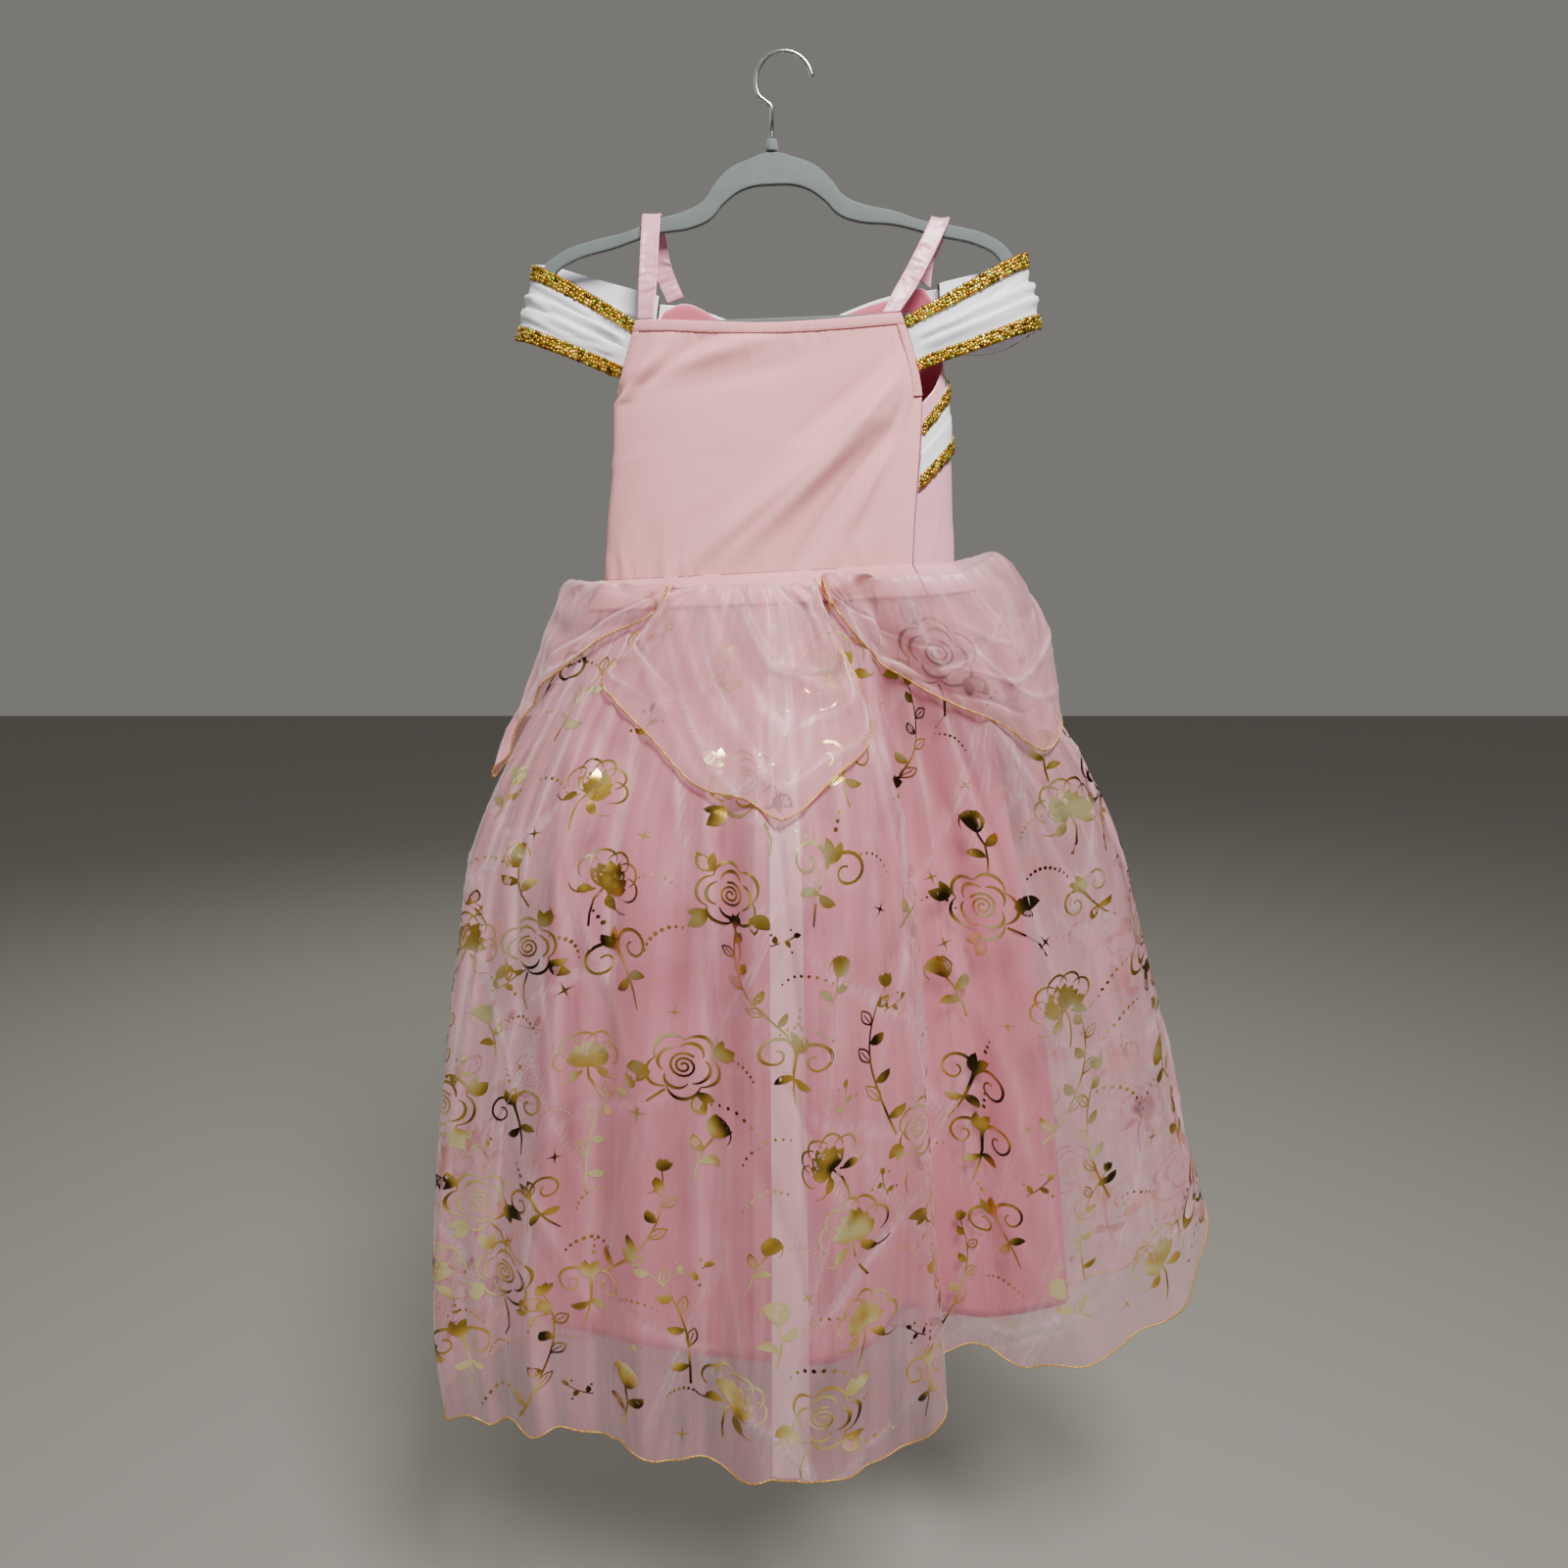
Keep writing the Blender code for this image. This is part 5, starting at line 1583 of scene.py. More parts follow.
OVERSKIRT = SkirtForm(
    stations=(
        (0.000, -349, -30, -1266), (0.055, -300, -82, -1259), (0.120, -215, -98, -1255),
        (0.180, -105, -122, -1266), (0.230, -12, -138, -1274), (0.270, 48, -140, -1278),
        (0.305, 118, -112, -1268), (0.335, 166, -56, -1264), (0.355, 142, -14, -1250),
        (0.375, 190, 2, -1240), (0.405, 255, -16, -1248), (0.440, 335, -22, -1229),
        (0.475, 412, -6, -1190), (0.510, 450, 30, -1110), (0.580, 375, 58, -1180), (0.670, 205, 60, -1240),
        (0.760, 0, 56, -1262), (0.850, -175, 58, -1264), (0.945, -310, 34, -1264),
    ),
    levels=(
        (0.00, 0.00, 0.00), (0.04, 0.10, 0.09), (0.10, 0.25, 0.21), (0.19, 0.47, 0.34), (0.28, 0.65, 0.48),
        (0.42, 0.76, 0.63), (0.55, 0.85, 0.71), (0.69, 0.94, 0.80), (0.83, 1.00, 0.88), (0.93, 1.01, 0.95),
        (1.00, 0.98, 1.00),
    ),
    inset=0,
    folds=(
        (0.030, 0.014, 9, 0.20), (0.075, 0.012, -8, 0.35), (0.105, 0.013, 11, 0.15),
        (0.140, 0.010, -9, 0.10), (0.165, 0.010, 10, 0.25), (0.200, 0.010, -9, 0.12),
        (0.222, 0.008, 9, 0.10), (0.250, 0.009, -8, 0.30), (0.290, 0.010, -9, 0.20),
        (0.392, 0.009, -7, 0.20), (0.425, 0.010, 8, 0.25), (0.458, 0.010, -8, 0.15),
        (0.545, 0.016, -6, 0.20), (0.625, 0.016, -7, 0.30), (0.715, 0.016, -6, 0.15),
        (0.805, 0.018, -7, 0.25), (0.900, 0.016, -6, 0.20),
    ),
    waves=4.0 * MM, gathers=1.1 * MM,
)
LINING_SKIRT = SkirtForm(
    stations=(
        (0.00, -252, -12, -1192), (0.10, -178, -52, -1188), (0.20, -60, -78, -1192),
        (0.28, 50, -78, -1198), (0.33, 98, -40, -1200), (0.37, 128, 14, -1204), (0.43, 215, 10, -1210),
        (0.50, 306, 26, -1204), (0.60, 215, 42, -1206), (0.75, 0, 38, -1200), (0.90, -190, 36, -1196),
    ),
    levels=(
        (0.00, 0.00, 0.00), (0.10, 0.22, 0.16), (0.25, 0.50, 0.36), (0.50, 0.76, 0.64), (1.00, 1.00, 1.00),
    ),
    inset=LAYER + 1.0 * MM,
)


class Petal(NamedTuple):
    """A puffed petal sewn into the waist seam between two shares of it."""

    name: str
    root_start: float
    root_end: float
    puff: float
    edge: tuple
    flat: Pair
    cut_area: float
    above_seam: float


PETALS = (
    Petal(
        "petal_back", 12 / 96, 28 / 96, 20.0 * MM,
        (
            (0.119, 0.030), (0.100, 0.070), (0.084, 0.110), (0.108, 0.136), (0.145, 0.172), (0.184, 0.220),
            (0.217, 0.233), (0.247, 0.250), (0.284, 0.212), (0.313, 0.180), (0.311, 0.120), (0.304, 0.078),
            (0.292, 0.030),
        ),
        (0.25, 0.20), 0.042, 15.0 * MM,
    ),
    Petal(
        "petal_right", 29 / 96, 59 / 96, 18.0 * MM,
        (
            (0.299, 0.020), (0.311, 0.048), (0.330, 0.080), (0.399, 0.140), (0.443, 0.180), (0.466, 0.222),
            (0.492, 0.205), (0.540, 0.170), (0.590, 0.120), (0.618, 0.070), (0.620, 0.025),
        ),
        (0.33, 0.17), 0.044, 21.0 * MM,
    ),
    Petal(
        "petal_left", -17 / 96, 11 / 96, 16.0 * MM,
        (
            (-0.190, 0.025), (-0.180, 0.070), (-0.130, 0.120), (-0.070, 0.170), (-0.020, 0.205),
            (0.003, 0.222), (0.007, 0.180), (0.012, 0.140), (0.026, 0.105), (0.068, 0.062), (0.100, 0.046),
            (0.114, 0.025),
        ),
        (0.30, 0.17), 0.037, 14.0 * MM,
    ),
    Petal(
        "petal_front", 62 / 96, 76 / 96, 10.0 * MM,
        (
            (0.638, 0.030), (0.632, 0.110), (0.650, 0.180), (0.720, 0.250), (0.785, 0.180), (0.803, 0.110),
            (0.797, 0.030),
        ),
        (0.24, 0.20), 0.032, 15.0 * MM,
    ),
)


@dataclass
class Skirt:
    """The opaque lining skirt, the sheer printed overskirt, its seam, hem and petals."""

    cells: Cells = (576, 150)
    lining_cells: Cells = (288, 70)
    petal_cells: Cells = (160, 90)
    seam_columns: int = 14
    over_flat: Pair = (2.1, 0.84)
    lining_flat: Pair = (1.25, 0.76)
    seam_size: Pair = (0.045, 0.84)
    lining_wall: float = 0.8 * MM
    edge_radius: float = 0.9 * MM
    edge_pitch: float = 1.0 * MM
    edge_sides: int = 6
    side_samples: int = 60
    edge_samples: int = 400
    root_lift: float = 3.4 * MM
    root_drop: float = 0.042
    clearance: float = 2.5 * MM
    seam_lift: float = 0.15 * MM
    seam_shares: Pair = (0.233, 0.257)
    seam_rows: Pair = (0.004, 0.996)

    def build(self) -> None:
        """Make every layer of the skirt."""
        self.build_lining()
        over, lay = self.build_overskirt()
        trims = [self.build_hem(lay), self.build_seam(lay), FoilPrint(lay).build()]
        for petal in PETALS:
            self.build_petal(petal)

    def build_lining(self) -> None:
        """The lining skirt, with soft hanging folds."""
        folds = scattered(51, 34, (0, 60, 1250, 700), (1.45, 1.7), (120, 420), (9, 22), 3.2)
        width, height = self.lining_flat

        def detail(share: Array, drop: Array) -> Array:
            lift = creased(share * width / MM, (1 - drop) * height / MM, folds)
            pinch = 1.2 * MM * np.cos(2 * pi * 60 * share) * (1 - rise(drop, 0.02, 0.25))
            seam_fade = rise(share, 0, 0.02) * (1 - rise(share, 0.98, 1))
            return np.clip(lift, -4 * MM, 3.5 * MM) * rise(drop, 0, 0.2) * seam_fade + pinch

        def surface(u: Array, v: Array) -> Array:
            return LINING_SKIRT.place(u, 1 - v, detail)

        piece = cloth(
            "skirt_lining_taffeta", surface, self.lining_cells, self.lining_flat, SKIRT_TAFFETA,
            "pink_lining", ["skirt_lining"], wall=self.lining_wall, closed=True,
        )

    def build_overskirt(self) -> tuple[bpy.types.Object, Lay]:
        """The overskirt's sheer cloth, with hanging folds, gathers and sharp creases.

        Returns:
            The cloth, and its lay for what is sewn and printed on it.
        """
        width, height = self.over_flat
        box = (0, 0, width / MM, height / MM)
        creases = [
            *scattered(61, 120, box, (1.45, 1.72), (90, 320), (7, 15), 4.0),
            *scattered(62, 110, box, (1.0, 2.1), (60, 200), (6, 14), 4.4),
            *scattered(63, 150, box, (0.3, 2.8), (40, 150), (2.5, 5), 3.4, Edge.PRESSED),
        ]

        def detail(share: Array, drop: Array) -> Array:
            lift = creased(share * width / MM, (1 - drop) * height / MM, creases)
            fine = 0.7 * MM * np.cos(2 * pi * 110 * share + 5 * np.sin(9 * share))
            fine = fine * rise(drop, 0, 0.03) * (1 - rise(drop, 0.04, 0.16))
            seam_fade = rise(share, 0, 0.01) * (1 - rise(share, 0.99, 1))
            bounded = 9 * MM * np.tanh(lift / (9 * MM))
            return bounded * rise(drop, 0.03, 0.25) * seam_fade + fine

        def surface(u: Array, v: Array) -> Array:
            return OVERSKIRT.place(u, 1 - v, detail)

        lay = Lay(surface, *self.cells)
        # Its marks carry how far the cloth turns in folds, for denser cloth and painted fold shade, and
        # its sharp crease lines, for a painted highlight.
        over = cloth(
            "overskirt_organza", lay.patch(), self.cells, self.over_flat, ORGANZA, "pink_organza",
            ["overskirt"], closed=True,
            marks={"fold_density_and_shade": lay.bunching(14, 0.9), "crease_highlight": lay.bunching(1, 0.16)},
        )
        return over, lay

    def overlocked(self, name: str, lay: Lay, u: Array, v: Array, closed: bool) -> bpy.types.Object:
        """A narrow overlocked edge in gold thread.

        Args:
            name: the piece's name.
            lay: the cloth.
            u: shares along the cloth of the edge's line.
            v: shares up the cloth of the edge's line.
            closed: whether the line meets itself.
        Returns:
            The edging.
        """
        places = along(lay.at(u, v), self.edge_pitch)
        index = np.arange(len(u))
        us, vs = np.interp(places, index, u), np.interp(places, index, v)
        centres, out = lay.at(us, vs), lay.normal(us, vs)
        loops = np.where(np.arange(len(us)) % 3 == 0, 0.75, 1.12)
        if closed:
            centres[-1], out[-1], loops[-1] = centres[0], out[0], loops[0]
        mesh = tube_mesh(name, centres, out, self.edge_radius * loops, self.edge_sides, closed)
        return show(name, mesh, OVERLOCK)

    def build_hem(self, lay: Lay) -> bpy.types.Object:
        """The gold overlocked hem."""
        u = np.linspace(0, 1, 4 * self.cells[0] + 1)
        return self.overlocked("overskirt_hem_overlock", lay, u, np.zeros_like(u), True)

    def build_seam(self, lay: Lay) -> bpy.types.Object:
        """The pressed allowance of the centre back seam, inside the sheer cloth."""
        surface = lay.patch(self.seam_shares, self.seam_rows, self.seam_lift)
        cells = (self.seam_columns, self.cells[1])
        look = (SEAM_ORGANZA, "pink_organza")
        return cloth("overskirt_back_seam", surface, cells, self.seam_size, *look)

    def petal_creases(self, petal: Petal) -> list[Crease]:
        """A petal's soft folds and its sharp little creases."""
        width, height = petal.flat[0] / MM, petal.flat[1] / MM
        seed = 71 + round(petal.puff / MM)
        low, whole = (0, 0.1 * height, width, height), (0, 0, width, height)
        return [
            *scattered(seed, 40, low, (0.9, 2.25), (30, 110), (5, 11), 4.0),
            *scattered(seed + 1, 26, whole, (0.1, 3.0), (20, 80), (2, 4), 2.8, Edge.PRESSED),
        ]

    def petal_surface(self, petal: Petal) -> Surface:
        """A petal from its root in the waist seam to its free edge, puffed and gathered."""
        count = len(petal.edge) - 1
        edge = Track([(i / count, *point) for i, point in enumerate(petal.edge)])
        pulls = (petal.root_end - petal.root_start) * 96 / 2
        width, height = petal.flat
        creases = self.petal_creases(petal)

        def surface(u: Array, v: Array) -> Array:
            out = 1 - v
            free = edge.at(u)
            root = petal.root_start + (petal.root_end - petal.root_start) * u
            share = root + (free[..., 0] - root) * out
            swell = np.maximum(np.sin(pi * u), 0)
            domed = swell**0.45
            low = self.root_drop * (1 - 0.8 * domed)
            drop = free[..., 1] * out + low * (1 - rise(out, 0.0, 0.4))
            puff = 1.15 * petal.puff * np.sin(pi * out**0.62) * (0.25 + 0.75 * domed)
            gather = 0.55 * MM * rise(out, 0, 0.2) * (1 - rise(out, 0.2, 0.7)) * swell
            lift = self.root_lift + OVERSKIRT.gather_height(drop)
            lift = lift + np.maximum(OVERSKIRT.fold_out(share, drop), 0)
            lift = lift + self.clearance * rise(out, 0, 0.2) + puff
            lift = lift + gather * (1 + np.cos(2 * pi * pulls * u))
            fine = 0.3 * MM * (1 + np.cos(2 * pi * 2.7 * pulls * u + 4 * u))
            lift = lift + fine * rise(out, 0, 0.1) * (1 - rise(out, 0.12, 0.35))
            pinched = creased(u * width / MM, v * height / MM, creases)
            lift = lift + np.maximum(pinched, -5.0 * MM) * rise(out, 0.03, 0.2)
            ripple = 1.2 * MM * np.sin(2 * pi * 9 * u) * rise(out, 0.7, 1.0)
            lift = lift + ripple * swell
            points = OVERSKIRT.base(share, drop)
            points = points + OVERSKIRT.outward(share, drop) * lift[..., None]
            above = rise(out, 0.0, 0.14) * (1 - rise(out, 0.14, 0.7)) * domed
            uneven = 0.9 + 0.12 * np.sin(11 * u + 1) + 0.08 * np.sin(25 * u)
            points[..., 2] += petal.above_seam * above * uneven
            return points

        return surface

    def build_petal(self, petal: Petal) -> None:
        """One puffed petal and its overlocked edge."""
        lay = Lay(self.petal_surface(petal), *self.petal_cells)
        # Its marks carry how far the cloth turns in folds, for denser cloth and painted fold shade, and
        # its sharp crease lines, for a painted highlight.
        piece = cloth(
            f"{petal.name}_organza", lay.patch(), self.petal_cells, petal.flat, PETAL_ORGANZA,
            "pink_organza", [petal.name],
            marks={"fold_density_and_shade": lay.bunching(12, 0.9), "crease_highlight": lay.bunching(1, 0.2)},
        )
        side = np.linspace(1, 0, self.side_samples)
        foot = np.linspace(0, 1, self.edge_samples)
        u = np.concatenate((np.zeros_like(side), foot[1:], np.ones_like(side[1:])))
        v = np.concatenate((side, np.zeros_like(foot[1:]), side[::-1][1:]))
        self.overlocked(f"{petal.name}_overlock", lay, u, v, False)


class Motif(Enum):
    """The kinds of foil motif, all ordinary garden and sky ornaments."""

    ROSE = "rose"
    BLOSSOM = "blossom"
    SPRIG = "sprig"
    FLOURISH = "flourish"
    BUD = "bud"
    STAR = "star"
    DOTS = "dots"
    LEAVES = "leaves"


@dataclass
class FoilPrint:
    """Gold foil motifs pressed on the overskirt, at a constant size on the hanging cloth."""

    lay: Lay
    lift: float = 0.35 * MM
    row_pitch: float = 86.0
    column_pitch: float = 95.0
    first_row: float = 0.06
    motif_scale: float = 1.32
    weight: float = 1.2
    last_row: float = 0.965
    form: bmesh.types.BMesh = field(init=False)
    draw: np.random.Generator = field(init=False)
    frame: tuple = field(init=False)

    def build(self) -> bpy.types.Object:
        """Print the whole skirt.

        Returns:
            The foil.
        """
        self.form = bmesh.new()
        self.draw = np.random.default_rng(2024)
        span = self.last_row - self.first_row
        rows = int(span * OVERSKIRT.length / MM / self.row_pitch) + 1
        large = (Motif.ROSE, Motif.SPRIG, Motif.BLOSSOM, Motif.FLOURISH, Motif.BUD)
        order = 0
        for row in range(rows):
            drop = self.first_row + span * (row + 0.5) / rows
            count = int(self.girth(drop) / self.column_pitch)
            for column in range(count):
                shift = 0.5 * (row % 2)
                share = (column + shift + self.draw.uniform(-0.14, 0.14)) / count
                spot = drop + self.draw.uniform(-0.16, 0.16) / rows
                order += 1
                self.press(large[(order * 3 + row) % 5], share, spot, self.motif_scale)
                between = share + 0.5 / count
                small = (Motif.STAR, Motif.DOTS, Motif.LEAVES, Motif.STAR)[order % 4]
                self.press(small, between, spot + 0.42 / rows, 1.0)
                if order % 2:
                    self.press(Motif.DOTS, between, spot - 0.1 / rows, 0.8)
        shares = np.array([vertex.co for vertex in self.form.verts])
        points = self.lay.at(shares[:, 0] % 1.0, 1 - np.clip(shares[:, 1], 0, 0.995), self.lift)
        for vertex, point in zip(self.form.verts, points):
            vertex.co = point
        across = [
            face
            for face in self.form.faces
            if max((a.vert.co - b.vert.co).length for a in face.loops for b in face.loops) > 0.05
        ]
        bmesh.ops.delete(self.form, geom=across, context="FACES")
        name = "overskirt_foil_print"
        return show(name, finished(self.form, name), FOIL)

    def girth(self, drop: float) -> float:
        """The overskirt's way round at a drop, in mm."""
        u = np.linspace(0, 1, 400)
        points = OVERSKIRT.base(u, np.full(400, drop))
        return float(np.linalg.norm(np.diff(points, axis=0), axis=1).sum()) / MM

    def press(self, motif: Motif, share: float, drop: float, scale: float) -> None:
        """Press one motif at a place, turned a little.

        Args:
            motif: its kind.
            share: its share of the way round.
            drop: how far down it is.
            scale: its size.
        """
        if not 0.02 < drop < 0.985:
            return
        step = 0.004
        share = share % 1.0
        at = OVERSKIRT.base(
            np.array((share - step, share + step, share, share)),
            np.array((drop, drop, drop - step, drop + step)),
        )
        wide = np.linalg.norm(at[1] - at[0]) / (2 * step) / MM
        tall = np.linalg.norm(at[3] - at[2]) / (2 * step) / MM
        turn = self.draw.uniform(-0.7, 0.7)
        flip = self.draw.choice((-1.0, 1.0))
        size = scale * self.draw.uniform(0.85, 1.15)
        self.frame = (share, drop, size / wide, size / tall, turn, flip)
        getattr(self, motif.value)()

    def local(self, points: Array) -> Array:
        """Places on the cloth of points of a motif, in mm."""
        share, drop, wide, tall, turn, flip = self.frame
        x, y = points[:, 0] * flip, points[:, 1]
        c, s = cos(turn), sin(turn)
        return np.stack((share + (x * c - y * s) * wide, drop - (x * s + y * c) * tall), axis=-1)

    def stroke(self, points: Array, widths: Array | float) -> None:
        """Press a line of varying width.

        Args:
            points: its middle line, in mm.
            widths: its width at each point, in mm.
        """
        points = np.asarray(points, float)
        count = len(points) - 1
        widths = np.broadcast_to(np.asarray(widths, float), (count + 1,))
        tangent = unit(np.gradient(points, axis=0))
        normal = np.stack((-tangent[:, 1], tangent[:, 0]), axis=-1)
        reach = normal * widths[:, None] * self.weight / 2
        low, high = self.local(points - reach), self.local(points + reach)
        made = bmesh.ops.create_grid(self.form, x_segments=count, y_segments=1, size=0.5)
        for vertex in made["verts"]:
            i = round((vertex.co.x + 0.5) * count)
            place = high[i] if vertex.co.y > 0 else low[i]
            vertex.co = (place[0], place[1], 0.0)

    def arc(self, centre: Pair, radius: float, start: float, end: float, width: float) -> None:
        """Press a part of a circle that thins at both ends."""
        turn = np.linspace(start, end, 11)
        points = np.stack((centre[0] + radius * np.cos(turn), centre[1] + radius * np.sin(turn)), axis=-1)
        self.stroke(points, width * (0.25 + 0.75 * np.sin(np.linspace(0, pi, 11))))

    def leaf(self, root: Pair, angle: float, length: float, width: float) -> None:
        """Press a filled leaf from its root."""
        t = np.linspace(0, 1, 7)
        bend = 0.12 * length * np.sin(pi * t)
        x = root[0] + length * t * cos(angle) - bend * sin(angle)
        y = root[1] + length * t * sin(angle) + bend * cos(angle)
        self.stroke(np.stack((x, y), axis=-1), width * np.sin(pi * t) ** 0.8 + 0.15)

    def outlined_leaf(self, root: Pair, angle: float, length: float, width: float) -> None:
        """Press a leaf's two sides and its rib."""
        t = np.linspace(0, 1, 8)
        for side in (-1, 0, 1):
            bow = side * width / 2 * np.sin(pi * t)
            reach = length * t * (1.0 if side else 0.75)
            x = root[0] + reach * cos(angle) - bow * sin(angle)
            y = root[1] + reach * sin(angle) + bow * cos(angle)
            self.stroke(np.stack((x, y), axis=-1), 0.9 if side else 0.6)

    def rose(self) -> None:
        """A rose seen from above: a spiral heart in rings of petal edges, with leaves."""
        turn = np.linspace(0, 4.6 * pi, 34)
        radius = 1.5 + 8.5 * turn / turn[-1]
        spiral = np.stack((radius * np.cos(turn), radius * np.sin(turn) * 0.9), axis=-1)
        self.stroke(spiral, 1.3)
        for ring, (count, reach, size) in enumerate(((4, 11.5, 8.5), (5, 17.0, 11.0))):
            for k in range(count):
                way = 2 * pi * (k + 0.4 * ring) / count
                centre = (reach * 0.75 * cos(way), reach * 0.7 * sin(way))
                self.arc(centre, size, way - 1.35, way + 1.35, 1.9)
        for way in (-2.5, -0.7, 2.2):
            root = (21 * cos(way), 20 * sin(way))
            self.leaf(root, way + 0.2, 17, 8)
            self.leaf(root, way - 0.5, 12, 5)
        stem = np.array(((3, -20), (8, -30), (10, -40), (7, -50)), float)
        self.stroke(stem, (1.4, 1.3, 1.1, 0.7))

    def blossom(self) -> None:
        """A fan-shaped blossom with filled inner petals and outlined outer ones."""
        for k in range(7):
            way = pi / 2 + (k - 3) * 0.36
            self.leaf((0, -6), way, 22 - abs(k - 3) * 1.6, 7.5)
        for k in range(5):
            way = pi / 2 + (k - 2) * 0.62
            centre = (17 * cos(way), -4 + 18 * sin(way))
            self.arc(centre, 8.5, way - 1.7, way + 1.7, 1.5)
        for side in (-1, 1):
            t = np.linspace(0, 1, 9)
            curl = np.stack((side * (4 + 20 * t), -8 - 9 * np.sin(t * 2.4)), axis=-1)
            self.stroke(curl, 1.5 - t)
            self.leaf((side * 5, -9), -pi / 2 + side * 0.9, 13, 5.5)
        self.stroke(np.array(((0, -6), (1, -15), (-2, -26), (-6, -34)), float), 1.2)

    def sprig(self) -> None:
        """A bent stem with leaves in pairs and a bud at its tip."""
        t = np.linspace(0, 1, 17)
        stem = np.stack((26 * np.sin(2.3 * t) - 12, -46 + 92 * t), axis=-1)
        self.stroke(stem, 1.35 - 0.7 * t)
        for k in range(2, 15, 2):
            point = stem[k]
            side = 1 if (k // 2) % 2 else -1
            way = pi / 2 + side * (0.95 - 0.2 * t[k])
            if k % 4:
                self.leaf(tuple(point), way, 13.5 - 4 * t[k], 5.2)
            else:
                self.outlined_leaf(tuple(point), way, 15 - 4 * t[k], 6.5)
        tip = stem[-1]
        for spread in (-0.5, 0.0, 0.5):
            self.leaf(tuple(tip), 1.4 + spread, 9, 4.2)

    def flourish(self) -> None:
        """Two mirrored scrolls on a stem, with leaves and a few dots over them."""
        turn = np.linspace(0, 2.5 * pi, 24)
        radius = 13 * (1 - 0.8 * turn / turn[-1])
        for side in (-1, 1):
            x = side * (13 - radius * np.cos(turn))
            ring = np.stack((x, 6 + radius * np.sin(turn)), axis=-1)
            self.stroke(ring, 2.0 - 1.1 * turn / turn[-1])
            self.leaf((0, -10), pi / 2 + side * 1.9, 13, 5.0)
            self.leaf((0, 8), pi / 2 - side * 0.35, 15, 5.5)
        self.stroke(np.array(((0, 6), (1, -6), (0, -18), (-3, -30)), float), (2.0, 1.6, 1.2, 0.6))
        for k in range(3):
            self.dot(np.array(((0.0, 28.0 + 5 * k),)), 1.5 - 0.3 * k)

    def bud(self) -> None:
        """A half-open bud on a short stem with two leaves."""
        for spread in (-0.42, -0.14, 0.14, 0.42):
            self.leaf((0, 2), pi / 2 + spread, 17, 6.0)
        self.arc((0, 9), 9.5, -0.2, pi + 0.2, 1.3)
        self.stroke(np.array(((0, 2), (-1, -8), (2, -18), (6, -27)), float), 1.2)
        self.leaf((0, -8), pi - 0.5, 14, 5.5)
        self.leaf((2, -16), 0.5, 14, 5.5)

    def star(self) -> None:
        """A four-pointed star."""
        arm = self.draw.uniform(6.5, 9.0)
        for way in (0.0, pi / 2):
            t = np.linspace(-1, 1, 9)
            line = np.stack((arm * t * cos(way), arm * t * sin(way)), axis=-1)
            self.stroke(line, 0.25 + 2.2 * (1 - np.abs(t)) ** 2.2)

    def dots(self) -> None:
        """A bowed trail of dots."""
        bow = self.draw.uniform(24, 42)
        for k, turn in enumerate(np.linspace(-0.8, 0.8, 8)):
            size = 1.0 + 0.9 * sin(pi * (k + 0.5) / 8)
            centre = np.array(((bow * sin(turn), bow * (cos(turn) - 1)),))
            self.dot(centre, size)

    def dot(self, centre: Array, radius: float) -> None:
        """Press one round dot."""
        made = bmesh.ops.create_circle(self.form, cap_ends=True, segments=8, radius=radius)
        spots = np.array([vertex.co[:2] for vertex in made["verts"]]) + centre
        for vertex, place in zip(made["verts"], self.local(spots)):
            vertex.co = (place[0], place[1], 0.0)

    def leaves(self) -> None:
        """Three small leaves on a twig with a few dots."""
        self.stroke(np.array(((-9, -8), (-3, -3), (3, 3), (8, 10)), float), 0.9)
        self.leaf((-4, -4), 2.2, 9, 4.2)
        self.leaf((1, 1), -0.4, 9, 4.2)
        self.leaf((8, 10), 0.9, 9, 4.2)
        for spot in ((-13.0, 3.0), (13.0, -5.0), (2.0, 15.0)):
            self.dot(np.array((spot,)), 1.3)


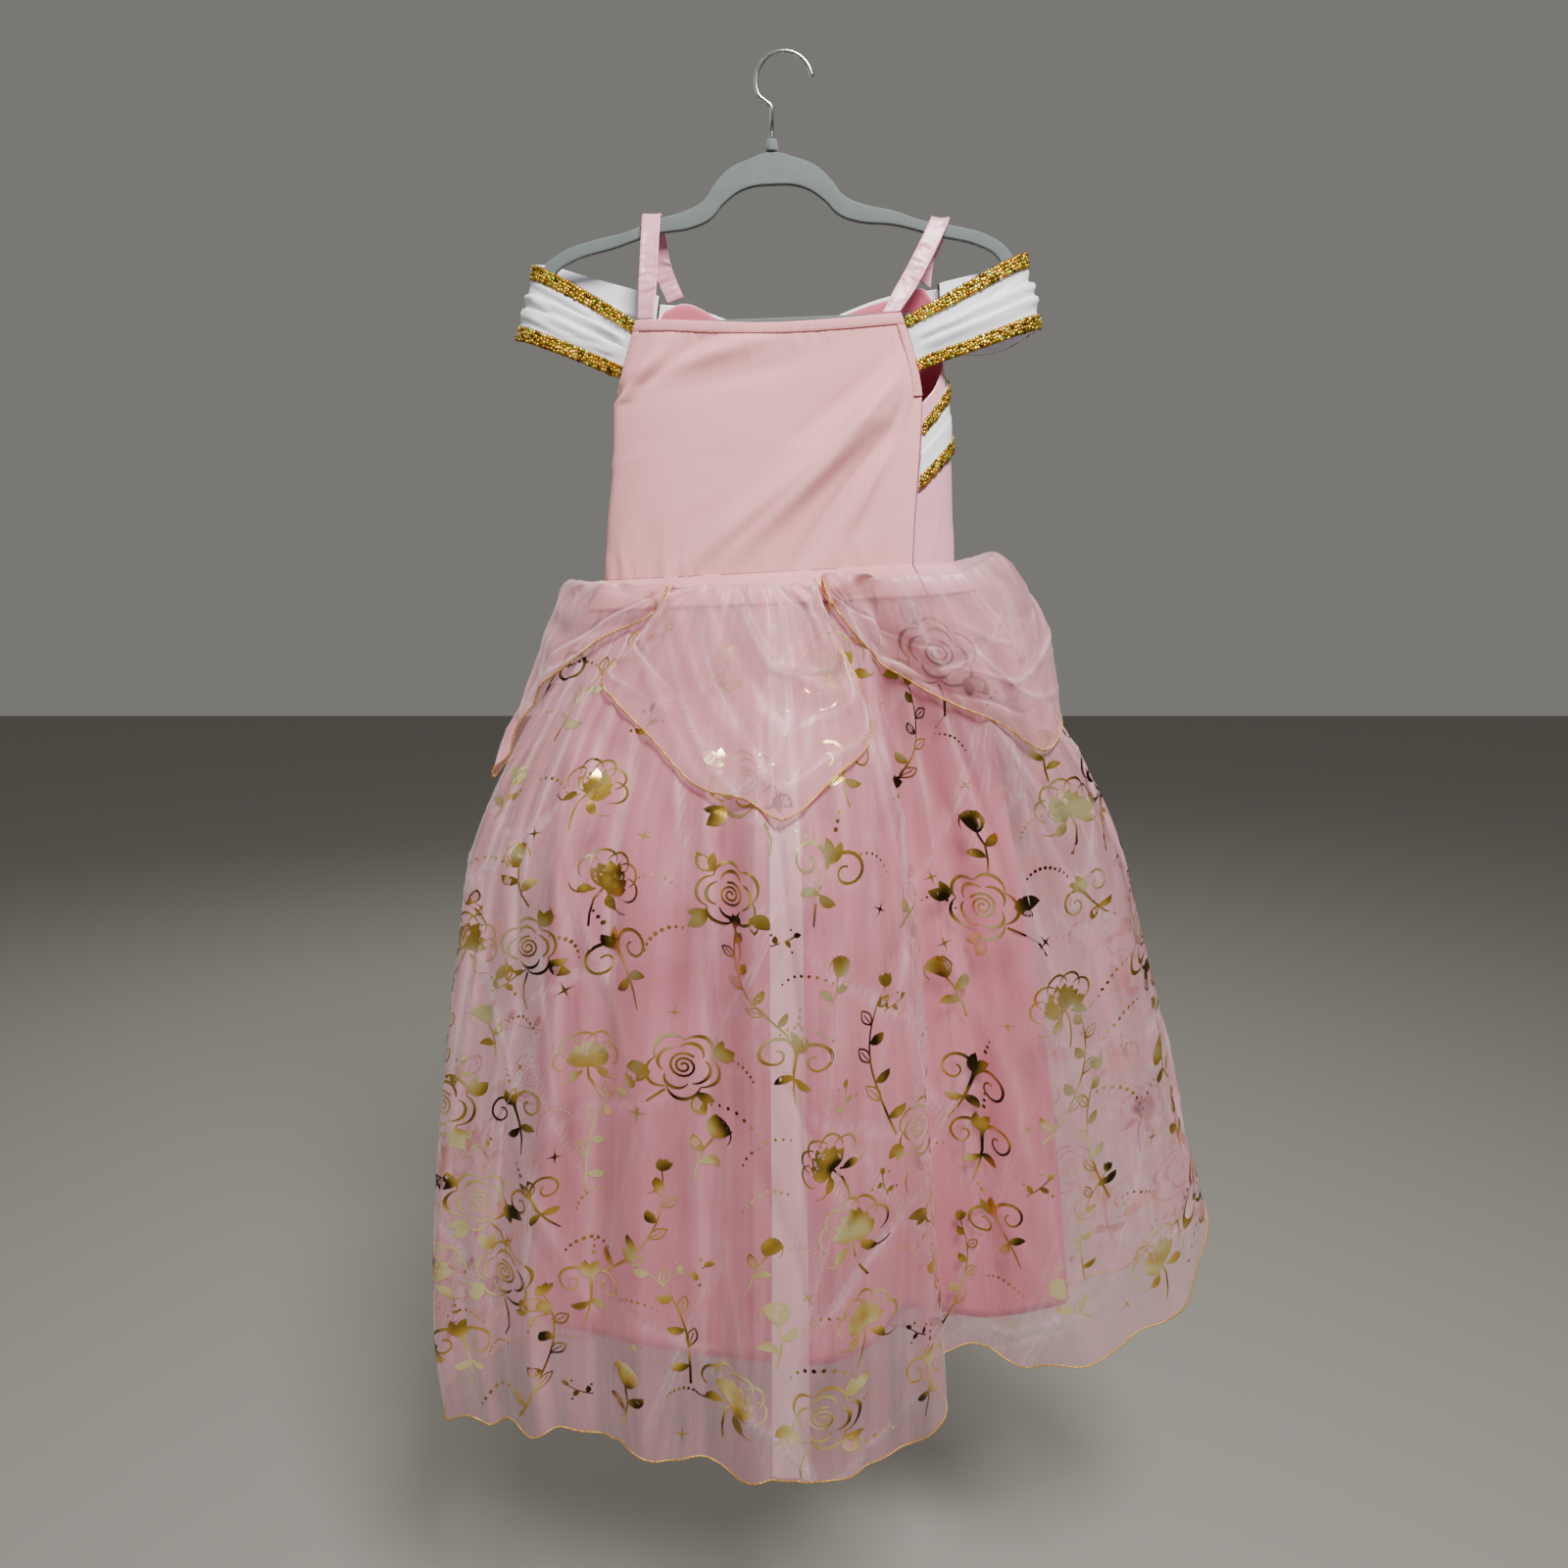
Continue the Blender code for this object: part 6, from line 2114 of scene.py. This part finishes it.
@dataclass
class Studio:
    """A plain pale floor, soft light and the camera at the height of the bodice."""

    floor_z: float = -1.62
    floor_size: float = 9.0
    camera_place: tuple[float, float, float] = (0.003, -1.09, -0.447)
    camera_pitch: float = radians(80)
    lens: float = 26.55

    def build(self) -> None:
        """Set up the floor, the lights and the camera."""
        form = bmesh.new()
        bmesh.ops.create_grid(form, x_segments=1, y_segments=1, size=self.floor_size)
        bmesh.ops.translate(form, verts=form.verts, vec=(0, 0, self.floor_z))
        mesh = finished(form, "floor")
        mesh.materials.append(FLOOR.material())
        floor = bpy.data.objects.new("floor", mesh)
        bpy.context.scene.collection.objects.link(floor)
        self.light("key_light", (0.42, -1.2, 0.95), 0.55, 80.0, "#fffaf6")
        self.light("fill_light", (-1.7, -1.6, -0.1), 1.6, 5.0, "#f6f8ff")
        self.light("back_light", (-0.8, 2.3, 1.2), 2.2, 32.0, "#ffffff")
        world = bpy.data.worlds.new("studio_world")
        bpy.context.scene.world = world
        world.use_nodes = True
        sky = world.node_tree.nodes["Background"]
        sky.inputs[0].default_value = linear("#b9b7b1")
        sky.inputs[1].default_value = 0.4
        camera = bpy.data.objects.new("camera", bpy.data.cameras.new("camera"))
        bpy.context.scene.collection.objects.link(camera)
        camera.data.sensor_width = 36.0
        camera.data.lens = self.lens
        camera.data.clip_start = 0.01
        place = Matrix.Translation(self.camera_place)
        camera.matrix_world = place @ Matrix.Rotation(self.camera_pitch, 4, "X")
        bpy.context.scene.camera = camera

    def light(
        self, name: str, place: tuple[float, float, float], size: float, power: float, hue: str
    ) -> None:
        """Add a large soft light aimed at the dress.

        Args:
            name: the light's name.
            place: where it stands.
            size: its side, in metres.
            power: its power, in watts.
            hue: its colour.
        """
        data = bpy.data.lights.new(name, "AREA")
        data.size = size
        data.energy = power
        data.color = linear(hue)[:3]
        lamp = bpy.data.objects.new(name, data)
        bpy.context.scene.collection.objects.link(lamp)
        aim = Vector((0, 0, -0.55)) - Vector(place)
        turn = aim.to_track_quat("-Z", "Y").to_matrix().to_4x4()
        lamp.matrix_world = Matrix.Translation(place) @ turn


LEFT_SLEEVE = (
    (0.00, -128, -221, -142.5, -268, -16), (0.20, -168, -199, -186, -254, -20),
    (0.40, -209, -177, -226, -240, -13), (0.50, -217.5, -172, -235.5, -236.5, 0),
    (0.60, -209, -169, -227, -232, 13), (0.80, -172, -177, -187, -243, 23),
    (1.00, -108, -193, -112, -252, 25),
)
RIGHT_SLEEVE = (
    (0.00, 106.5, -221, 124, -265, -20), (0.20, 158, -194, 176, -247, -22),
    (0.40, 204, -168, 220, -231, -13), (0.50, 216, -161.5, 231.5, -226.5, 0),
    (0.60, 207, -163, 232, -224, 13), (0.80, 180, -173, 196, -242, 23), (1.00, 141, -186, 143, -247, 18),
)


def main() -> None:
    """Dress the hanger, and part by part."""
    logging.basicConfig(level=logging.INFO, format="%(name)s %(message)s")
    bodice = Bodice()
    parts = [
        Studio(), Hanger(), bodice, Sleeve(False, LEFT_SLEEVE, bodice.neckline_band[-1][0], -0.055),
        Sleeve(True, RIGHT_SLEEVE, bodice.neckline_band[0][0], 0.014), Skirt(),
    ]
    for part in parts:
        part.build()
        LOG.info("built the %s", type(part).__name__.lower())
    for name, mesh_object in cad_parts.items():
        if not mesh_object.hide_render:
            LOG.info("solid still shown: %s", name)


if __name__ == "__main__":
    main()
